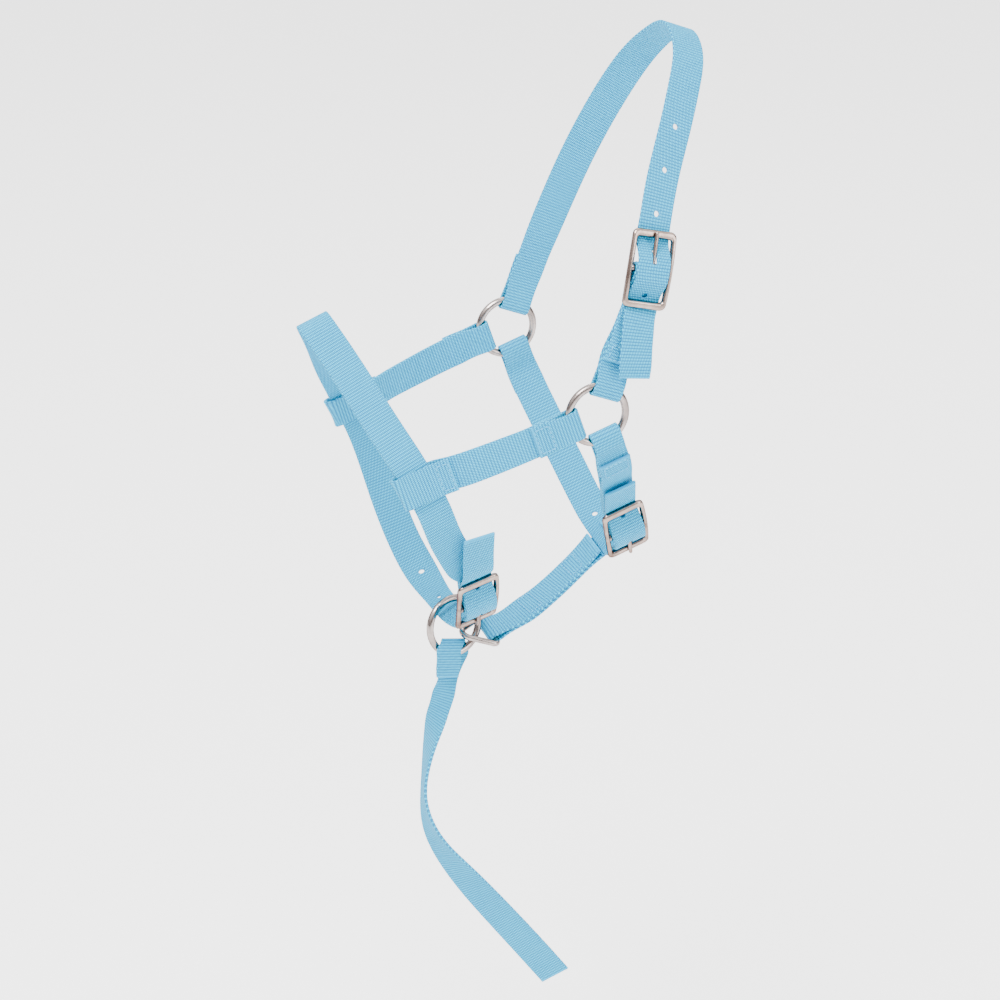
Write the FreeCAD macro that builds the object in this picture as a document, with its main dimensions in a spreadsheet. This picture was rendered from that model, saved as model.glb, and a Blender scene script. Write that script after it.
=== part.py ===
import FreeCAD, Part
import math
import os

import Sketcher
from FreeCAD import Matrix, Placement, Rotation, Vector

# A foal halter (headcollar) of nylon webbing with nickel-plated hardware, in millimetres.
# The foal's left, near side is +X, its nose points to -Y and its poll is up, +Z.
# Shapes are laid out from the ring axis, the line along X through both cheek rings.
# The origin is then moved to the poll seat, the middle of the crown strap's underside.

DRIVING_SIZES = [
    ("web_width", 18.5),
    ("web_thick", 1.8),
    ("web_gap", 0.15),
    ("web_bunch", 1.7),
    ("hole_wide", 3.4),
    ("hole_pitch", 24.0),
    ("ring_outer", 36.0),
    ("ring_wire", 4.0),
    ("ring_half_span", 77.0),
    ("crown_lean", 21.0),
    ("throat_lean", 20.0),
    ("cheek_drop", 19.1),
    ("crown_height", 200.0),
    ("buckle_long", 42.0),
    ("buckle_wide", 24.6),
    ("buckle_bar", 4.0),
    ("buckle_rail", 2.0),
    ("buckle_thick", 3.0),
    ("buckle_arch", 1.2),
    ("pin_wide", 3.0),
    ("tongue_wire", 2.3),
    ("tongue_reach", 20.2),
    ("dee_wire", 3.4),
    ("dee_base", 23.6),
    ("dee_height", 20.0),
    ("thread_wide", 0.7),
]

doc = FreeCAD.newDocument("foal_halter")
sheet = doc.addObject("Spreadsheet::Sheet", "Sizes")
for row, (alias, value) in enumerate(DRIVING_SIZES, start=1):
    sheet.set(f"A{row}", alias)
    sheet.set(f"B{row}", str(value))
    sheet.setAlias(f"B{row}", alias)
doc.recompute()


def size(alias):
    return float(sheet.get(alias))


WIDTH = size("web_width")
THICK = size("web_thick")
GAP = size("web_gap")
WIRE = size("ring_wire")
RING_R = (size("ring_outer") - WIRE) / 2
SPAN = size("ring_half_span")
PIN_R = size("pin_wide") / 2
PLY = THICK + GAP
RING_FOLD = WIRE / 2 + GAP + THICK / 2
PIN_FOLD = PIN_R + GAP + THICK / 2
LOOP_R = PIN_R + 0.1 + size("tongue_wire") / 2

# A strap's fold bridges the round wire like a chord, so its edges bear on the ring first.
BUNCHED = WIDTH - size("web_bunch")
FOLD_AT = math.sqrt((RING_R - WIRE / 2) ** 2 - (BUNCHED / 2) ** 2) - GAP + RING_FOLD - THICK / 2


def bunched_width(reach):
    """The strap's width at a distance from the ring axis: it bunches up inside a ring."""
    free = min(max((reach - 20) / 10, 0), 1)
    return BUNCHED + (WIDTH - BUNCHED) * free


# ---------------------------------------------------------------- layout planes


class Plane:
    """A plane that holds the X axis: points are (x, reach, drift) from the ring axis."""

    def __init__(self, along, across):
        self.along = along
        self.across = across

    def point(self, x, reach, drift=0.0):
        return Vector(x, 0, 0) + self.along * reach + self.across * drift

    def direction(self, x, reach, drift=0.0):
        return self.point(x, reach, drift)


def lean_plane(lean, upward):
    """A plane that leans back from straight up, or from straight down."""
    angle = math.radians(lean)
    rise = math.cos(angle) if upward else -math.cos(angle)
    along = Vector(0, math.sin(angle), rise)
    return Plane(along, Vector(1, 0, 0).cross(along))


CROWN = lean_plane(size("crown_lean"), True)
THROAT = lean_plane(size("throat_lean"), False)
DROP = math.radians(size("cheek_drop"))
CHEEK = Plane(Vector(0, -math.cos(DROP), -math.sin(DROP)), Vector(0, math.sin(DROP), -math.cos(DROP)))
SEAT = CROWN.point(0, size("crown_height") - THICK / 2)


# ---------------------------------------------------------------- building blocks


def arc_points(centre, radius, start, end, steps):
    """Points on a circular arc in a plane's own two coordinates, angles in degrees."""
    points = []
    for step in range(steps + 1):
        angle = math.radians(start + (end - start) * step / steps)
        points.append((centre[0] + radius * math.cos(angle), centre[1] + radius * math.sin(angle)))
    return points


def spline_face(first, second):
    """The ruled face between two spline edges that share their knots."""
    poles = [[a, b] for a, b in zip(first.getPoles(), second.getPoles())]
    surface = Part.BSplineSurface()
    surface.buildFromPolesMultsKnots(
        poles,
        first.getMultiplicities(),
        [2, 2],
        first.getKnots(),
        [0.0, 1.0],
        False,
        False,
        first.Degree,
        1,
    )
    return surface.toShape()


def distances(points):
    """The running distance from the first point to each point."""
    total = [0.0]
    for before, after in zip(points, points[1:]):
        total.append(total[-1] + (after - before).Length)
    return total


def tangent_at(points, index):
    """The direction of travel at a point, weighted towards its nearer neighbour."""
    here = points[index]
    if index == 0:
        heading = points[1] - here
    elif index == len(points) - 1:
        heading = here - points[-2]
    else:
        back = here - points[index - 1]
        ahead = points[index + 1] - here
        heading = back * (ahead.Length / back.Length) + ahead * (back.Length / ahead.Length)
    return heading.normalize()


def ribbon(stations, thick=THICK):
    """A solid of webbing through stations of (centre, across, width) and, if it slides, a slide."""
    centres = [station[0] for station in stations]
    travel = distances(centres)
    corners = [[], [], [], []]
    for index, (centre, across, width, *slide) in enumerate(stations):
        heading = tangent_at(centres, index)
        side = across - heading * across.dot(heading)
        side.normalize()
        normal = side.cross(heading)
        centre = centre + side * sum(slide)
        for corner, (u, v) in zip(corners, ((-1, -1), (1, -1), (1, 1), (-1, 1))):
            corner.append(centre + side * (u * width / 2) + normal * (v * thick / 2))
    edges = []
    for corner in corners:
        edge = Part.BSplineCurve()
        edge.interpolate(Points=corner, Parameters=travel)
        edges.append(edge)
    faces = []
    stride = 3
    for start in range(0, len(travel) - 1, stride):
        end = min(start + stride, len(travel) - 1)
        pieces = []
        for edge in edges:
            piece = edge.copy()
            piece.segment(travel[start], travel[end])
            pieces.append(piece)
        for index in range(4):
            faces.append(spline_face(pieces[index], pieces[(index + 1) % 4]))
    for index in (0, -1):
        outline = [corner[index] for corner in corners]
        faces.append(Part.Face(Part.makePolygon(outline + outline[:1])))
    shell = Part.makeShell(faces)
    shell.sewShape()
    solid = Part.Solid(shell)
    if solid.Volume < 0:
        solid.reverse()
    return solid


def in_plane(plane, points):
    """Stations of one constant across direction from (x, reach) or (x, reach, drift)."""
    return [(plane.point(*point), plane.across, bunched_width(point[1])) for point in points]


def hole_along(stations, start_index, distance):
    """A punch for a hole, at a distance along the webbing from one station."""
    centres = [station[0] for station in stations]
    travel = distances(centres)
    line = Part.BSplineCurve()
    line.interpolate(Points=centres, Parameters=travel)
    edge = line.toShape()
    before = travel[start_index]
    base = line.length(0, before) if before > 0 else 0.0
    parameter = edge.getParameterByLength(base + distance)
    centre = line.value(parameter)
    heading = line.tangent(parameter)[0]
    nearest = min(range(len(travel)), key=lambda index: abs(travel[index] - parameter))
    across = stations[nearest][1]
    normal = across.cross(heading)
    normal.normalize()
    radius = size("hole_wide") / 2
    return Part.makeCylinder(radius, 4 * THICK, centre - normal * (2 * THICK), normal)


PIECES = {}


def place(label, piece):
    """Name a finished piece and move it from the ring axis to the poll seat."""
    piece.Label = label
    seated = piece.Placement
    seated.Base = seated.Base - SEAT
    piece.Placement = seated
    PIECES[label] = piece


def add_shape(label, shape):
    piece = doc.addObject("Part::Feature", label)
    piece.Shape = shape
    piece.Placement = Placement()
    place(label, piece)


# ---------------------------------------------------------------- buckles


class Buckle:
    """Where a centre-bar buckle sits: its pin, the way to the strap's source, and outward."""

    def __init__(self, pin, source, outward):
        self.pin = pin
        self.source = source.normalize()
        outward = outward - self.source * outward.dot(self.source)
        self.outward = outward.normalize()
        self.side = self.outward.cross(self.source)

    def point(self, along, out):
        return self.pin + self.source * along + self.outward * out

    def placement(self):
        s, w, n, p = self.source, self.side, self.outward, self.pin
        return Placement(
            Matrix(s.x, w.x, n.x, p.x, s.y, w.y, n.y, p.y, s.z, w.z, n.z, p.z, 0, 0, 0, 1)
        )


BAR_AT = (size("buckle_long") - size("buckle_bar")) / 2
UNDER_BAR = -(size("buckle_thick") / 2 + size("buckle_arch") + GAP + THICK / 2)
OVER_PIN = LOOP_R + size("tongue_wire") / 2 + GAP + THICK / 2


def strap_wave(buckle):
    """The strap's way through a buckle: under a bar, over the pin, under the other bar."""
    middle = (OVER_PIN + UNDER_BAR) / 2
    swing = (OVER_PIN - UNDER_BAR) / 2
    slopes = [(1, -1), (0.75, -0.76), (0.5, 0.15), (0.25, 0.86)]
    crest = slopes + [(0, 1)] + [(-along, height) for along, height in slopes[::-1]]
    return [buckle.point(BAR_AT * along, middle + swing * height) for along, height in crest]


def tab_wave(buckle):
    """The folded tab's way round the pin: outer ply in, round the pin, inner ply out."""
    outer = [(-BAR_AT, UNDER_BAR - PLY), (-14, -4.7), (-9, -2.0), (-4.5, 0.9)]
    turn = arc_points((0, 0), PIN_FOLD, 90, -90, 4)
    inner = [(-4.5, -3.1), (-9, -4.7), (-14, -6.8), (-BAR_AT, UNDER_BAR - 2 * PLY - 0.1)]
    return [buckle.point(*point) for point in outer + turn + inner]


def planar_buckle(plane, pin, source):
    """A buckle on the near side, set out in a layout plane's own directions."""
    return Buckle(plane.point(*pin), plane.direction(*source), Vector(1, 0, 0))


crown_buckle = planar_buckle(CROWN, (73.5, 82.1, -0.65), (-0.178, 0.974, 0.138))
throat_buckle = planar_buckle(THROAT, (42.0, 89.0), (-0.521, 0.853))
nose_buckle = Buckle(Vector(43, -56, -115), Vector(-0.57, 0.14, -0.81), Vector(0.82, 0.23, -0.53))


def rectangle(sketch, long_alias, wide_alias):
    """A rectangle centred on the origin with both sides bound to the sheet."""
    corners = [Vector(-1, -1, 0), Vector(1, -1, 0), Vector(1, 1, 0), Vector(-1, 1, 0)]
    for index in range(4):
        sketch.addGeometry(Part.LineSegment(corners[index] * 5, corners[(index + 1) % 4] * 5))
    for index in range(4):
        sketch.addConstraint(Sketcher.Constraint("Coincident", index, 2, (index + 1) % 4, 1))
    sketch.addConstraint(Sketcher.Constraint("Horizontal", 0))
    sketch.addConstraint(Sketcher.Constraint("Vertical", 1))
    sketch.addConstraint(Sketcher.Constraint("Horizontal", 2))
    sketch.addConstraint(Sketcher.Constraint("Vertical", 3))
    sketch.addConstraint(Sketcher.Constraint("Symmetric", 0, 1, 2, 1, -1, 1))
    long_side = sketch.addConstraint(Sketcher.Constraint("DistanceX", 0, 1, 0, 2, 10))
    wide_side = sketch.addConstraint(Sketcher.Constraint("DistanceY", 1, 1, 1, 2, 10))
    sketch.setExpression(f"Constraints[{long_side}]", long_alias)
    sketch.setExpression(f"Constraints[{wide_side}]", wide_alias)


def origin_plane(body, role):
    for feature in body.Origin.OriginFeatures:
        if feature.Role == role:
            return feature
    raise ValueError(role)


def new_sketch(body, name, role):
    sketch = body.newObject("Sketcher::SketchObject", name)
    sketch.AttachmentSupport = [(origin_plane(body, role), "")]
    sketch.MapMode = "FlatFace"
    return sketch


def edges_where(feature, test):
    return [f"Edge{index}" for index, edge in enumerate(feature.Shape.Edges, start=1) if test(edge)]


def is_upright(edge):
    first, last = edge.Vertexes[0].Point, edge.Vertexes[-1].Point
    run = math.hypot(last.x - first.x, last.y - first.y)
    return run < 1e-6 and abs(last.z - first.z) > 1e-6


def reach_of(edge):
    return abs(edge.Vertexes[0].Point.x)


def frame_body(label, buckle):
    """An arched rectangular frame with its centre pin, cast in one piece."""
    body = doc.addObject("PartDesign::Body", label)

    side = new_sketch(body, label + "_side", "XZ_Plane")
    half = size("buckle_long") / 2
    thick = size("buckle_thick") / 2
    arch = size("buckle_arch")
    top_ends = [Vector(-half, thick - arch, 0), Vector(half, thick - arch, 0)]
    low_ends = [Vector(-half, -thick - arch, 0), Vector(half, -thick - arch, 0)]
    side.addGeometry(Part.Arc(top_ends[0], Vector(0, thick, 0), top_ends[1]))
    side.addGeometry(Part.Arc(low_ends[0], Vector(0, -thick, 0), low_ends[1]))
    side.addGeometry(Part.LineSegment(top_ends[0], low_ends[0]))
    side.addGeometry(Part.LineSegment(top_ends[1], low_ends[1]))
    slab = body.newObject("PartDesign::Pad", label + "_slab")
    slab.Profile = side
    slab.SideType = "Symmetric"
    slab.setExpression("Length", "Sizes.buckle_wide")
    doc.recompute()

    window = new_sketch(body, label + "_window", "XY_Plane")
    rectangle(
        window,
        "Sizes.buckle_long - 2 * Sizes.buckle_bar",
        "Sizes.buckle_wide - 2 * Sizes.buckle_rail",
    )
    opening = body.newObject("PartDesign::Pocket", label + "_opening")
    opening.Profile = window
    opening.SideType = "Symmetric"
    opening.Length = 40
    doc.recompute()

    outer = size("buckle_long") / 2 - 0.5
    cut = opening
    for name, radius, chosen in (
        ("_corners", 3.0, lambda edge: is_upright(edge) and reach_of(edge) > outer),
        ("_inner_corners", 1.2, lambda edge: is_upright(edge) and reach_of(edge) < outer - 2),
    ):
        corners = body.newObject("PartDesign::Fillet", label + name)
        corners.Base = (cut, edges_where(cut, chosen))
        corners.Radius = radius
        doc.recompute()
        cut = corners

    rounded = body.newObject("PartDesign::Fillet", label + "_rounding")
    rounded.Base = (cut, edges_where(cut, lambda edge: not is_upright(edge)))
    rounded.Radius = 0.9
    doc.recompute()

    bar = new_sketch(body, label + "_bar", "XZ_Plane")
    bar.addGeometry(Part.Circle(Vector(0, 0, 0), Vector(0, 0, 1), 1))
    bar.addConstraint(Sketcher.Constraint("Coincident", 0, 3, -1, 1))
    across = bar.addConstraint(Sketcher.Constraint("Diameter", 0, 1.0))
    bar.setExpression(f"Constraints[{across}]", "Sizes.pin_wide - 0.2")
    pin = body.newObject("PartDesign::Pad", label + "_pin")
    pin.Profile = bar
    pin.SideType = "Symmetric"
    pin.setExpression("Length", "Sizes.buckle_wide - Sizes.buckle_rail")
    doc.recompute()
    body.Tip = pin
    body.Placement = buckle.placement()
    return body


BUCKLES = (("crown", crown_buckle), ("throat", throat_buckle), ("nose", nose_buckle))


def tongue_body(label, buckle):
    """A wire tongue: an open eye round the pin and a shank whose tip rests on the end bar."""
    body = doc.addObject("PartDesign::Body", label)
    path = new_sketch(body, label + "_path", "XZ_Plane")
    circle = Part.Circle(Vector(0, 0, 0), Vector(0, 0, 1), LOOP_R)
    path.addGeometry(Part.ArcOfCircle(circle, math.radians(90), math.radians(335)))
    path.addGeometry(Part.LineSegment(Vector(0, LOOP_R, 0), Vector(size("tongue_reach"), LOOP_R, 0)))
    doc.recompute()
    section = new_sketch(body, label + "_section", "YZ_Plane")
    section.addGeometry(Part.Circle(Vector(0, LOOP_R, 0), Vector(0, 0, 1), 1))
    wire = section.addConstraint(Sketcher.Constraint("Diameter", 0, size("tongue_wire")))
    section.setExpression(f"Constraints[{wire}]", "Sizes.tongue_wire")
    section.AttachmentOffset = Placement(Vector(0, 0, size("tongue_reach")), Rotation())
    doc.recompute()
    shank = body.newObject("PartDesign::AdditivePipe", label + "_wire")
    shank.Profile = section
    shank.Spine = (path, [])
    doc.recompute()
    tip = body.newObject("PartDesign::Fillet", label + "_tip")
    end = size("tongue_reach") - 0.01
    tip.Base = (shank, edges_where(shank, lambda edge: edge.BoundBox.XMin > end))
    tip.Radius = 0.9
    doc.recompute()
    rest_at = BAR_AT - 1
    bar_top = size("buckle_thick") / 2 - size("buckle_arch") * (2 * rest_at / size("buckle_long")) ** 2
    drop = LOOP_R - size("tongue_wire") / 2 - bar_top - GAP
    lean = math.degrees(math.asin(drop / rest_at))
    body.Placement = buckle.placement() * Placement(Vector(), Rotation(Vector(0, 1, 0), lean))
    return body


for name, buckle in BUCKLES:
    place(f"{name}_buckle_frame", frame_body(f"{name}_buckle_frame", buckle))
    place(f"{name}_buckle_tongue", tongue_body(f"{name}_buckle_tongue", buckle))


def tongue_slot(buckle):
    """The stretched hole that the tongue stands in, with room for it to lift a little."""
    wide = size("tongue_wire") + 0.6
    high = size("tongue_wire") + 0.4
    slot = Part.makeBox(size("tongue_reach"), wide, high, Vector(1, -wide / 2, LOOP_R - high / 2))
    lowered = slot.copy()
    lowered.rotate(Vector(), Vector(0, 1, 0), 5.0)
    slot = slot.fuse(lowered)
    slot.Placement = buckle.placement()
    return slot


def tongue_notch(buckle):
    """The notch in a tab's fold that clears the eye of the tongue."""
    wide = size("tongue_wire") + 0.6
    radius = LOOP_R + size("tongue_wire") / 2 + 0.2
    notch = Part.makeCylinder(radius, wide, Vector(0, -wide / 2, 0), Vector(0, 1, 0))
    notch.Placement = buckle.placement()
    return notch


# ---------------------------------------------------------------- rings


def ring(label, centre, axis):
    torus = doc.addObject("Part::Torus", label)
    torus.setExpression("Radius1", "(Sizes.ring_outer - Sizes.ring_wire) / 2")
    torus.setExpression("Radius2", "Sizes.ring_wire / 2")
    torus.Placement = Placement(centre, Rotation(Vector(0, 0, 1), axis))
    place(label, torus)


CHIN_CENTRE = Vector(3.0, -57.0, -144.9)
CHIN_AXIS = Vector(0.955, 0.27, 0.12).normalize()
ring("cheek_ring_near", Vector(SPAN, 0, 0), Vector(1, 0, 0))
ring("cheek_ring_far", Vector(-SPAN, 0, 0), Vector(1, 0, 0))
ring("chin_ring", CHIN_CENTRE, CHIN_AXIS)


# ---------------------------------------------------------------- straps


def ring_fold(ring_x, inner_side):
    """The fold round a ring's wire, from the outer side of the wire to the inner side."""
    start = 180 if inner_side > 0 else 360
    end = 360 if inner_side > 0 else 180
    turn = arc_points((ring_x, FOLD_AT), RING_FOLD, start, end, 6)
    outer = (ring_x - inner_side * RING_FOLD, RING_R)
    inner = (ring_x + inner_side * RING_FOLD, RING_R)
    return [outer] + turn + [inner]


# The hole that the tongue stands in lies just before the pin, seen along each strap.
HOLE_AT = -8.0

# The crown strap folds round the far ring, crosses the poll and ends below its buckle.
crown_end = [(-78.3, 42), (-78.3, 34), (-78.5, 26), (-79.5, 20.5)]
crown_start = [(-74.7, 20.5), (-76.0, 26), (-76.0, 34), (-75.8, 44), (-75.0, 57)]
crown_far = [(-72.5, 80), (-68, 106), (-60.5, 131), (-50, 155), (-36.5, 176), (-20, 191.5)]
crown_top = [(0, size("crown_height"))]
crown_near = [(19.5, 191.5, -1.5), (33.5, 175.5, 0), (45, 155, 1.8), (54.5, 131, 2.9)]
crown_near += [(61.2, 115.5, 3.0), (64.8, 106.5, 2.6)]
crown_tail = [(75.3, 57.3, -3.5), (78.5, 49, -4.6), (81.2, 40, -6.2), (82.8, 32, -8.2), (83.4, 25.5, -9.8)]
crown_plan = crown_end + ring_fold(-SPAN, 1) + crown_start + crown_far + crown_top + crown_near
crown_wave = [(point, crown_buckle.side, WIDTH) for point in strap_wave(crown_buckle)]
crown_stations = in_plane(CROWN, crown_plan) + crown_wave + in_plane(CROWN, crown_tail)
crown_lean_first = len(crown_end) + 8 + len(crown_start)
for step, lean in enumerate((0.12, 0.3, 0.45, 0.5, 0.4, 0.22)):
    centre, across, width = crown_stations[crown_lean_first + step]
    across = (across - Vector(lean, 0, 0)).normalize()
    crown_stations[crown_lean_first + step] = (centre, across, width)
crown_shape = ribbon(crown_stations).cut(tongue_slot(crown_buckle))
crown_pin_index = len(crown_plan) + 4
for count in (-3, -2, -1, 1):
    distance = HOLE_AT + count * size("hole_pitch")
    crown_shape = crown_shape.cut(hole_along(crown_stations, crown_pin_index, distance))
add_shape("crown_strap", crown_shape)


def tab_stations(plane, buckle, middle):
    """A tab in two plies from a ring to a buckle pin, its end tucked in between them."""
    def ply(offset, indexes):
        points = []
        for index in indexes:
            before = middle[max(index - 1, 0)]
            after = middle[min(index + 1, len(middle) - 1)]
            run = math.hypot(after[0] - before[0], after[1] - before[1])
            out = ((after[1] - before[1]) / run, (before[0] - after[0]) / run)
            gap = offset * (2.25 if index < 3 else 1.1)
            x, reach, drift = middle[index]
            points.append((x + out[0] * gap, reach + out[1] * gap, drift))
        return points

    back = range(len(middle) - 1, -1, -1)
    start = in_plane(plane, ply(1, range(1, len(middle))))
    wave = [(point, buckle.side, WIDTH) for point in tab_wave(buckle)]
    home = in_plane(plane, ply(-1, back) + [(SPAN - RING_FOLD, 19.5)])
    fold = in_plane(plane, ring_fold(SPAN, 1) + [(SPAN + 2.4, 20.2)])
    tuck = in_plane(plane, ply(0, range(3)))
    return start + wave + home + fold + tuck


TABS = {}
crown_tab_middle = [(77.1, 24.5, 0), (76.5, 29.5, 0), (75.6, 39, -0.6), (74.2, 47, -1.6), (72.2, 54.5, -2.7)]
throat_tab_middle = [(76.9, 24.5, 0), (75.2, 28.5, 0), (70.2, 37.5, 0), (62.8, 47.5, 0), (55.8, 57, 0)]
for name, plane, buckle, middle in (
    ("crown_buckle_tab", CROWN, crown_buckle, crown_tab_middle),
    ("throat_buckle_tab", THROAT, throat_buckle, throat_tab_middle),
):
    TABS[name] = tab_stations(plane, buckle, middle)
    add_shape(name, ribbon(TABS[name]).cut(tongue_notch(buckle)))

# The jaw strap loops round the lowest part of the throat strap and leaves it square.
JAW_REAR = THROAT.point(-8, 111.6)
JAW_REAR_ACROSS = THROAT.direction(0.975, 0.22).normalize()
jaw_rear_ahead = Vector(0.1, -0.67, -0.73)
JAW_REAR_AHEAD = jaw_rear_ahead - JAW_REAR_ACROSS * jaw_rear_ahead.dot(JAW_REAR_ACROSS)
JAW_REAR_AHEAD.normalize()
THROAT_TURN = JAW_REAR_AHEAD * -1

# The throat strap folds round the far ring, runs under the throat and up through its buckle.
throat_end = [(-73.9, 39.5), (-76.0, 33.5), (-77.8, 27), (-79.3, 21)]
throat_start = [(-74.5, 21), (-75.6, 27), (-73.8, 33.5), (-71.5, 39.5), (-66.5, 48.5)]
throat_far = [(-59, 60.5), (-50.5, 74), (-42, 87.5), (-34, 98.5), (-26.5, 105.7)]
throat_low = [(-17.7, 109.4), (-8, 111.6), (1.8, 113.8)]
throat_near = [(10.5, 113.6), (20.5, 109.6)]
throat_tail = [(51.6, 67.8), (56.0, 62.9), (61.2, 57.2), (66.4, 51.4)]
throat_plan = throat_end + ring_fold(-SPAN, 1) + throat_start + throat_far
throat_wave = [(point, THROAT.across, WIDTH) for point in strap_wave(throat_buckle)]
throat_stations = in_plane(THROAT, throat_plan)
for point in throat_low:
    throat_stations.append((THROAT.point(*point), THROAT_TURN, WIDTH))
throat_stations += in_plane(THROAT, throat_near) + throat_wave + in_plane(THROAT, throat_tail)
throat_shape = ribbon(throat_stations).cut(tongue_slot(throat_buckle))
throat_pin_index = len(throat_plan) + len(throat_low) + len(throat_near) + 4
for count in (-3, -2, 1):
    distance = HOLE_AT + count * size("hole_pitch")
    throat_shape = throat_shape.cut(hole_along(throat_stations, throat_pin_index, distance))
add_shape("throat_strap", throat_shape)


# Each cheek strap folds round its ring and ends in a flat tunnel round the noseband.
NOSE_HEADING = Vector(0.22, 0.43, -0.87)
TUNNEL_X = 66.5
TUNNEL_REACH = 101.0
cheek_end = [(78.2, 37), (78.2, 31), (78.4, 26), (79.5, 20.5)]
cheek_run = [(75.0, 20.5), (76.2, 26), (76.2, 31), (76.1, 37), (74.9, 50), (73.2, 62), (71.3, 73)]
cheek_dip = [(69.4, 80), (67.1, 85), (65.0, 89.6)]
cheek_cut = [(68.9, 91.5), (69.6, 87), (70.5, 82.5)]
tunnel_half = 2.2
tunnel_inner = [(TUNNEL_X - tunnel_half, TUNNEL_REACH + shift) for shift in (-7, 0, 6)]
tunnel_outer = [(TUNNEL_X + tunnel_half, TUNNEL_REACH + shift) for shift in (6, 0, -5)]
tunnel_turn = arc_points((TUNNEL_X, TUNNEL_REACH + WIDTH / 2 + 0.5), tunnel_half, 180, 0, 4)
cheek_plan = (
    cheek_end
    + ring_fold(SPAN, -1)
    + cheek_run
    + cheek_dip
    + tunnel_inner
    + tunnel_turn
    + tunnel_outer
    + cheek_cut
)


def cheek_stations(side):
    stations = []
    for x, reach in cheek_plan:
        turn = min(max((reach - 40) / 40, 0), 1)
        across = CHEEK.across * (1 - turn) + NOSE_HEADING * turn
        across = Vector(side * across.x, across.y, across.z)
        stations.append((CHEEK.point(side * x, reach), across, bunched_width(reach)))
    return stations


cheek_near = cheek_stations(1)
cheek_far = cheek_stations(-1)
add_shape("cheek_strap_near", ribbon(cheek_near))
add_shape("cheek_strap_far", ribbon(cheek_far))

# The noseband starts in a fold on its buckle pin, rises over the nose, comes back under the
# chin through the chin ring and ends above the buckle.
NOSE_ACROSS = Vector(0, 0.92, 0.39)
nose_side = [
    (50.0, -110.5, -4),
    (58.2, -104.8, -14.6),
    (64.2, -99.9, -23.9),
    (66.5, -95.4, -33.0),
    (68.8, -90.9, -42.1),
    (69.4, -86.8, -52.0),
]
nose_rise = [(56.5, -67.5, -88), (62.5, -75.5, -76), (67.4, -82.2, -63.5)]
nose_rise += nose_side[::-1] + [(34.0, -119, 13), (17.0, -127.5, 29.5)]
nose_top = [(0, -134.5, 42)]
nose_fall = [(-17.0, -127.5, 29.5), (-34.0, -119, 13)]
nose_fall += [(-x, y, z) for x, y, z in nose_side]
nose_fall += [(-70.0, -80.5, -71), (-66.0, -74.5, -93), (-55.0, -68.5, -114), (-38.0, -63, -128.5)]
nose_chin = [(-19.0, -60, -134.8), (0, -58.5, -136.2), (9, -57.5, -136.2), (24, -55.3, -133.3)]
nose_tail = [(59.2, -61.0, -91.5), (64.8, -62.5, -80.5), (70.2, -63.7, -65.0)]


def nose_station(point, across=NOSE_ACROSS, width=WIDTH):
    return (Vector(*point), across, width)


nose_tab = tab_wave(nose_buckle)
nose_return = nose_tab[-1]
inner_end = nose_return - nose_buckle.source * 9 - nose_buckle.outward * 0.2
nose_stations = [(inner_end, nose_buckle.side, WIDTH)]
nose_stations += [(point, nose_buckle.side, WIDTH) for point in reversed(nose_tab)]
nose_stations += [nose_station(point) for point in nose_rise + nose_top + nose_fall]
nose_stations += [nose_station(point, NOSE_ACROSS, BUNCHED - 1.4) for point in nose_chin]
nose_stations += [(point, nose_buckle.side, WIDTH) for point in strap_wave(nose_buckle)]
nose_stations += [nose_station(point, Vector(-0.1, 0.97, 0.25)) for point in nose_tail]
nose_shape = ribbon(nose_stations)
nose_shape = nose_shape.cut(tongue_slot(nose_buckle)).cut(tongue_notch(nose_buckle))
nose_pin_index = len(nose_stations) - len(nose_tail) - 5
for distance in (-70 - size("hole_pitch"), -70, 16):
    nose_shape = nose_shape.cut(hole_along(nose_stations, nose_pin_index, distance))
add_shape("noseband", nose_shape)


# ---------------------------------------------------------------- jaw dee and jaw strap

DEE_BASE = Vector(-2.0, -34.5, -153.3)
DEE_ACROSS = Vector(0.9, 0.2, -0.38).normalize()


def square_to_dee(heading):
    """A direction turned square to the dee's base bar."""
    return (heading - DEE_ACROSS * heading.dot(DEE_ACROSS)).normalize()


DEE_AHEAD = square_to_dee(Vector(0.2, -0.96, 0.18))
JAW_NARROW = 14.4


def dee_point(along, ahead):
    return DEE_BASE + DEE_ACROSS * along + DEE_AHEAD * ahead


def rounded_loop(corners, radii):
    """A closed wire of straight sides and tangent arcs."""
    count = len(corners)
    ends = []
    arcs = []
    for index in range(count):
        here = corners[index]
        back = (corners[index - 1] - here).normalize()
        ahead = (corners[(index + 1) % count] - here).normalize()
        half = back.getAngle(ahead) / 2
        reach = radii[index] / math.tan(half)
        middle = (back + ahead).normalize()
        centre = here + middle * (radii[index] / math.sin(half))
        start = here + back * reach
        end = here + ahead * reach
        arcs.append(Part.Arc(start, centre - middle * radii[index], end).toShape())
        ends.append((start, end))
    edges = []
    for index in range(count):
        edges.append(arcs[index])
        following = ends[(index + 1) % count][0]
        edges.append(Part.LineSegment(ends[index][1], following).toShape())
    return Part.Wire(edges)


half_base = size("dee_base") / 2
dee_corners = [dee_point(-half_base, 0), dee_point(0, size("dee_height") + 3.4), dee_point(half_base, 0)]
dee_path = rounded_loop(dee_corners, [2.2, 4.2, 2.2])
dee_section = Part.Wire(Part.makeCircle(size("dee_wire") / 2, dee_point(0, 0), DEE_ACROSS))
dee_shape = dee_path.makePipeShell([dee_section], True, False)
add_shape("jaw_dee", dee_shape)

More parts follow.
